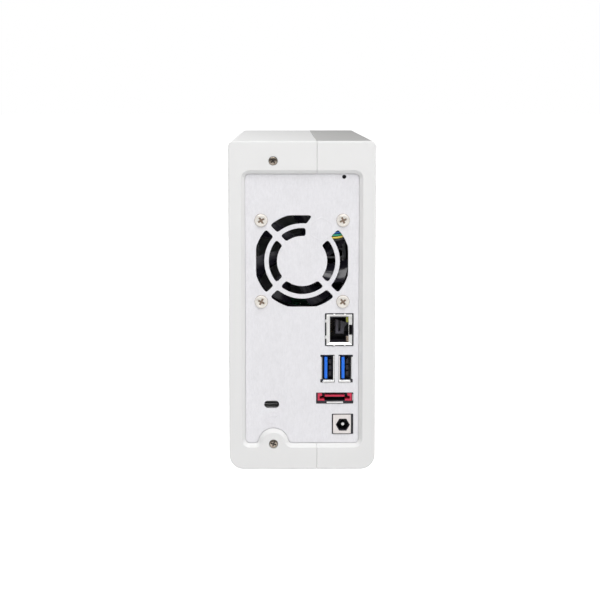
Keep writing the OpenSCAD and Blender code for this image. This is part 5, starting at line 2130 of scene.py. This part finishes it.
@dataclass
class FrontPanel(Assembly):
    """The power button and the light pipes."""

    mid_x: float = -21.6
    front_y: float = -REAR_Y

    def build(self) -> None:
        """Builds the button and the light pipes."""
        y = self.front_y
        button = Stock().turned((self.mid_x, 0, BUTTON_Z), Axis.Y, [
            (0, y + 0.75), (3.6, y + 0.62), (5.2, y + 0.3), (5.6, y + 0.2), (6.0, y + 0.55),
            (6.0, y + 3.2), (7.4, y + 3.2), (7.4, y + 4.2), (1.7, y + 4.2), (1.7, -104.85), (0, -104.85)], 64)
        self.fit(button.done("power_button_cap", Palette.button), "power_key", "button_plastic",
                 "power_button")
        pipes = []
        for z in INDICATOR_ZS:
            stock = Stock()
            for wide, depth, tall in ((1, (y + 0.05, y + 3.3), 3), (2, (y + 3.2, y + 4.2), 4),
                                      (1, (y + 4.1, -103.2), 3)):
                stock.box((self.mid_x - wide, self.mid_x + wide), depth, (z - tall, z + tall))
            pipes.append(stock.done("pipe", Palette.clear, 0.15))
        self.fit(joined("light_pipes_clear", pipes), "chassis", "clear_plastic", "light_pipes")


@dataclass
class Electronics(Assembly):
    """The heatsink and the small parts of the boards."""

    def build(self, row: Row) -> None:
        """Builds the heatsink, the capacitors and the coin cell."""
        fin = Stock().prism(
            [(-21.7, 0), (-21.7, 1.3), (-12.4, 1.05), (-12.0, 0.85), (-12.0, 0.35), (-12.4, 0.15)],
            Axis.Z, 0, 1)
        for vert in fin.mesh.verts:
            vert.co = Vector((vert.co.x, 22 + 36 * vert.co.z, vert.co.y))
        fins = row.along("fins", fin.done("fin", Palette.sink), Palette.sink, 9, (0, 0, 84.95), (0, 0, 4.35))
        base = Stock().box((-23.6, -21.6), (22, 58), (85, 121)).done("sink_base", Palette.sink, 0.3)
        self.fit(joined("heatsink_finned", [base, fins]), "chassis", "heatsink_aluminium", "heatsink")
        cans = []
        for y, z in ((92, 34), (84, 26), (84, 38), (14, 30), (4, 30), (14, 42)):
            cans.append(Stock().turned((BOARD_X, y, z), Axis.X, [
                (0, 0), (3.15, 0), (3.15, 0.9), (2.95, 1.2), (3.15, 1.5), (3.15, 7.3), (2.8, 7.7),
                (2.4, 7.55), (0, 7.55)], 32).done("can", Palette.sleeve))
        self.fit(joined("capacitors_sleeved", cans), "chassis", "capacitor_sleeve", "capacitors")
        cell = Stock().turned((BOARD_X, -8, 76), Axis.X, [
            (0, 0), (9.6, 0), (10, 0.4), (10, 2.4), (9.4, 3.0), (8.8, 3.0), (8.6, 3.4), (0, 3.4)], 64)
        self.fit(cell.done("clock_cell", Palette.cell), "chassis", "battery_steel", "clock_battery")


@dataclass
class Carried(Assembly):
    """CAD nodes whose shape is right, which get a finish and slightly rounded edges."""

    soft: dict[str, float] = field(default_factory=lambda: {
        "mainboard": 0.05, "drive_board": 0.05, "front_board": 0.05, "drive_circuit_board": 0.05,
        "board_chips": 0.12, "inductors": 0.4, "drive_casting": 0.4, "drive_lid": 0.15,
        "drive_bracket": 0.15, "riser_slot": 0.2, "sata_socket": 0.25, "drive_plug": 0.2,
        "fan_plug": 0.3, "fan_header": 0.3, "power_switch": 0.2, "reset_switch": 0.2,
        "bracket_posts": 0.2, "drive_grommets": 0.5, "drive_screws": 0.2, "indicator_leds": 0.15,
        "reset_plunger": 0.15, "drive_lid_screws": 0.08, "front_cable": 0.04,
    })

    def build(self) -> None:
        """Replaces each node by a welded copy with rounded edges and its own finish."""
        slots = {part["node"]: part["material_slot"] for part in self.frame["record"]["subparts"]}
        bodies = {
            node: body
            for body, nodes in self.frame["record"]["behaviour"]["bodies"].items() for node in nodes}
        for node, width in self.soft.items():
            finish = Palette.by_slot(slots[node])
            data = self.frame["nodes"][node].data.copy()
            data.name = node + "_finished"
            work = bmesh.new()
            work.from_mesh(data)
            bmesh.ops.remove_doubles(work, verts=work.verts, dist=0.001 * MM)
            bmesh.ops.dissolve_limit(
                work, angle_limit=math.radians(1), verts=work.verts, edges=work.edges)
            work.to_mesh(data)
            work.free()
            obj = linked(node + "_finished", data)
            soften_edges(obj, width, 2)
            dress(obj, finish)
            self.fit(obj, bodies[node], slots[node], node)


@dataclass
class Studio:
    """The floor, the lights and the camera."""

    camera_at: Place = (7.93, 814.98, 186.74)
    look_at: Place = (1.05, 112.25, 117.4)
    lens: float = 87.1
    shift_y: float = -0.1
    world_lit: float = 0.12
    world_seen: float = 1.0
    floor_size: float = 14.0
    boxes: tuple[tuple[str, Place, float, float], ...] = (
        ("key", (-0.06, 0.8, 1.05), 0.9, 13.0),
        ("fill", (-1.3, 1.1, 0.7), 1.0, 2.0),
        ("front", (0.4, -1.6, 1.15), 0.8, 8.0),
        ("left", (1.5, -0.3, 0.36), 0.6, 6.5),
        ("right", (-1.5, -0.3, 0.36), 0.6, 6.5),
    )

    def camera(self) -> None:
        """Places the camera behind the unit, slightly above it."""
        data = bpy.data.cameras.new("camera")
        data.lens = self.lens
        data.sensor_width = 36.0
        data.shift_y = self.shift_y
        data.clip_end = 50.0
        obj = linked("camera", data)
        place = Vector(self.camera_at) * MM
        aim = Vector(self.look_at) * MM - place
        obj.location = place
        obj.rotation_euler = aim.to_track_quat("-Z", "Y").to_euler()
        bpy.context.scene.camera = obj

    def light(self, name: str, at: Sequence[float], size: float, power: float) -> None:
        """Adds one square softbox that faces the unit.

        Args:
            name: the light's name.
            at: its place in metres.
            size: its side in metres.
            power: its power in watts.
        """
        data = bpy.data.lights.new(name, "AREA")
        data.size = size
        data.energy = power
        obj = linked(name, data)
        obj.location = at
        aim = Vector((0, 0, 0.09)) - Vector(at)
        obj.rotation_euler = aim.to_track_quat("-Z", "Y").to_euler()

    def world(self) -> None:
        """Fills the surroundings with even white light, brighter where the camera sees it."""
        world = bpy.data.worlds.new("surroundings")
        world.use_nodes = True
        nodes, links = world.node_tree.nodes, world.node_tree.links
        nodes.clear()
        path = nodes.new("ShaderNodeLightPath")
        mix = nodes.new("ShaderNodeMixShader")
        out = nodes.new("ShaderNodeOutputWorld")
        links.new(path.outputs["Is Camera Ray"], mix.inputs[0])
        for spot, strength in ((1, self.world_lit), (2, self.world_seen)):
            sky = nodes.new("ShaderNodeBackground")
            sky.inputs["Color"].default_value = (1.0, 1.0, 1.0, 1.0)
            sky.inputs["Strength"].default_value = strength
            links.new(sky.outputs[0], mix.inputs[spot])
        links.new(mix.outputs[0], out.inputs[0])
        bpy.context.scene.world = world

    def floor(self) -> None:
        """Lays a wide pale floor under the unit."""
        data = bpy.data.meshes.new("floor")
        size = self.floor_size
        data.from_pydata([(-size, -size, 0), (size, -size, 0), (size, size, 0), (-size, size, 0)], [],
                         [(0, 1, 2, 3)])
        graph = Graph("floor_paper")
        fibres = graph.noise(800.0, 3.0)
        path = graph.node("ShaderNodeLightPath", {}, {})
        shaders = [
            graph.node("ShaderNodeBsdfPrincipled", {}, {
                "Base Color": graph.blend(fibres, shade(colour, 0.98), colour), "Roughness": 0.9,
                "Specular IOR Level": 0.1, "Emission Color": colour + (1.0,),
                "Emission Strength": strength})
            for colour, strength in (((0.74, 0.74, 0.74), 0.22), ((0.88, 0.88, 0.88), 1.25))]
        mix = graph.node("ShaderNodeMixShader", {}, {
            0: path.outputs["Is Camera Ray"], 1: shaders[0].outputs[0], 2: shaders[1].outputs[0]})
        graph.node("ShaderNodeOutputMaterial", {}, {"Surface": mix.outputs[0]})
        data.materials.append(graph.material)
        obj = linked("floor", data)

    def build(self) -> None:
        """Builds the whole studio."""
        self.floor()
        self.world()
        for softbox in self.boxes:
            self.light(*softbox)
        self.camera()
        bpy.context.scene.view_settings.view_transform = "Standard"


def main() -> None:
    """Builds the studio and the sub-assemblies in order."""
    logging.basicConfig(level=logging.INFO, format="%(name)s: %(message)s")
    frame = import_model()
    row = Row()
    Studio().build()
    Housing(frame).build(row)
    RearPlate(frame).build()
    Screws(frame).build()
    Fan(frame).build(Ring())
    Sockets(frame).build(row)
    FrontPanel(frame).build()
    Electronics(frame).build(row)
    Carried(frame).build()


if __name__ == "__main__":
    main()
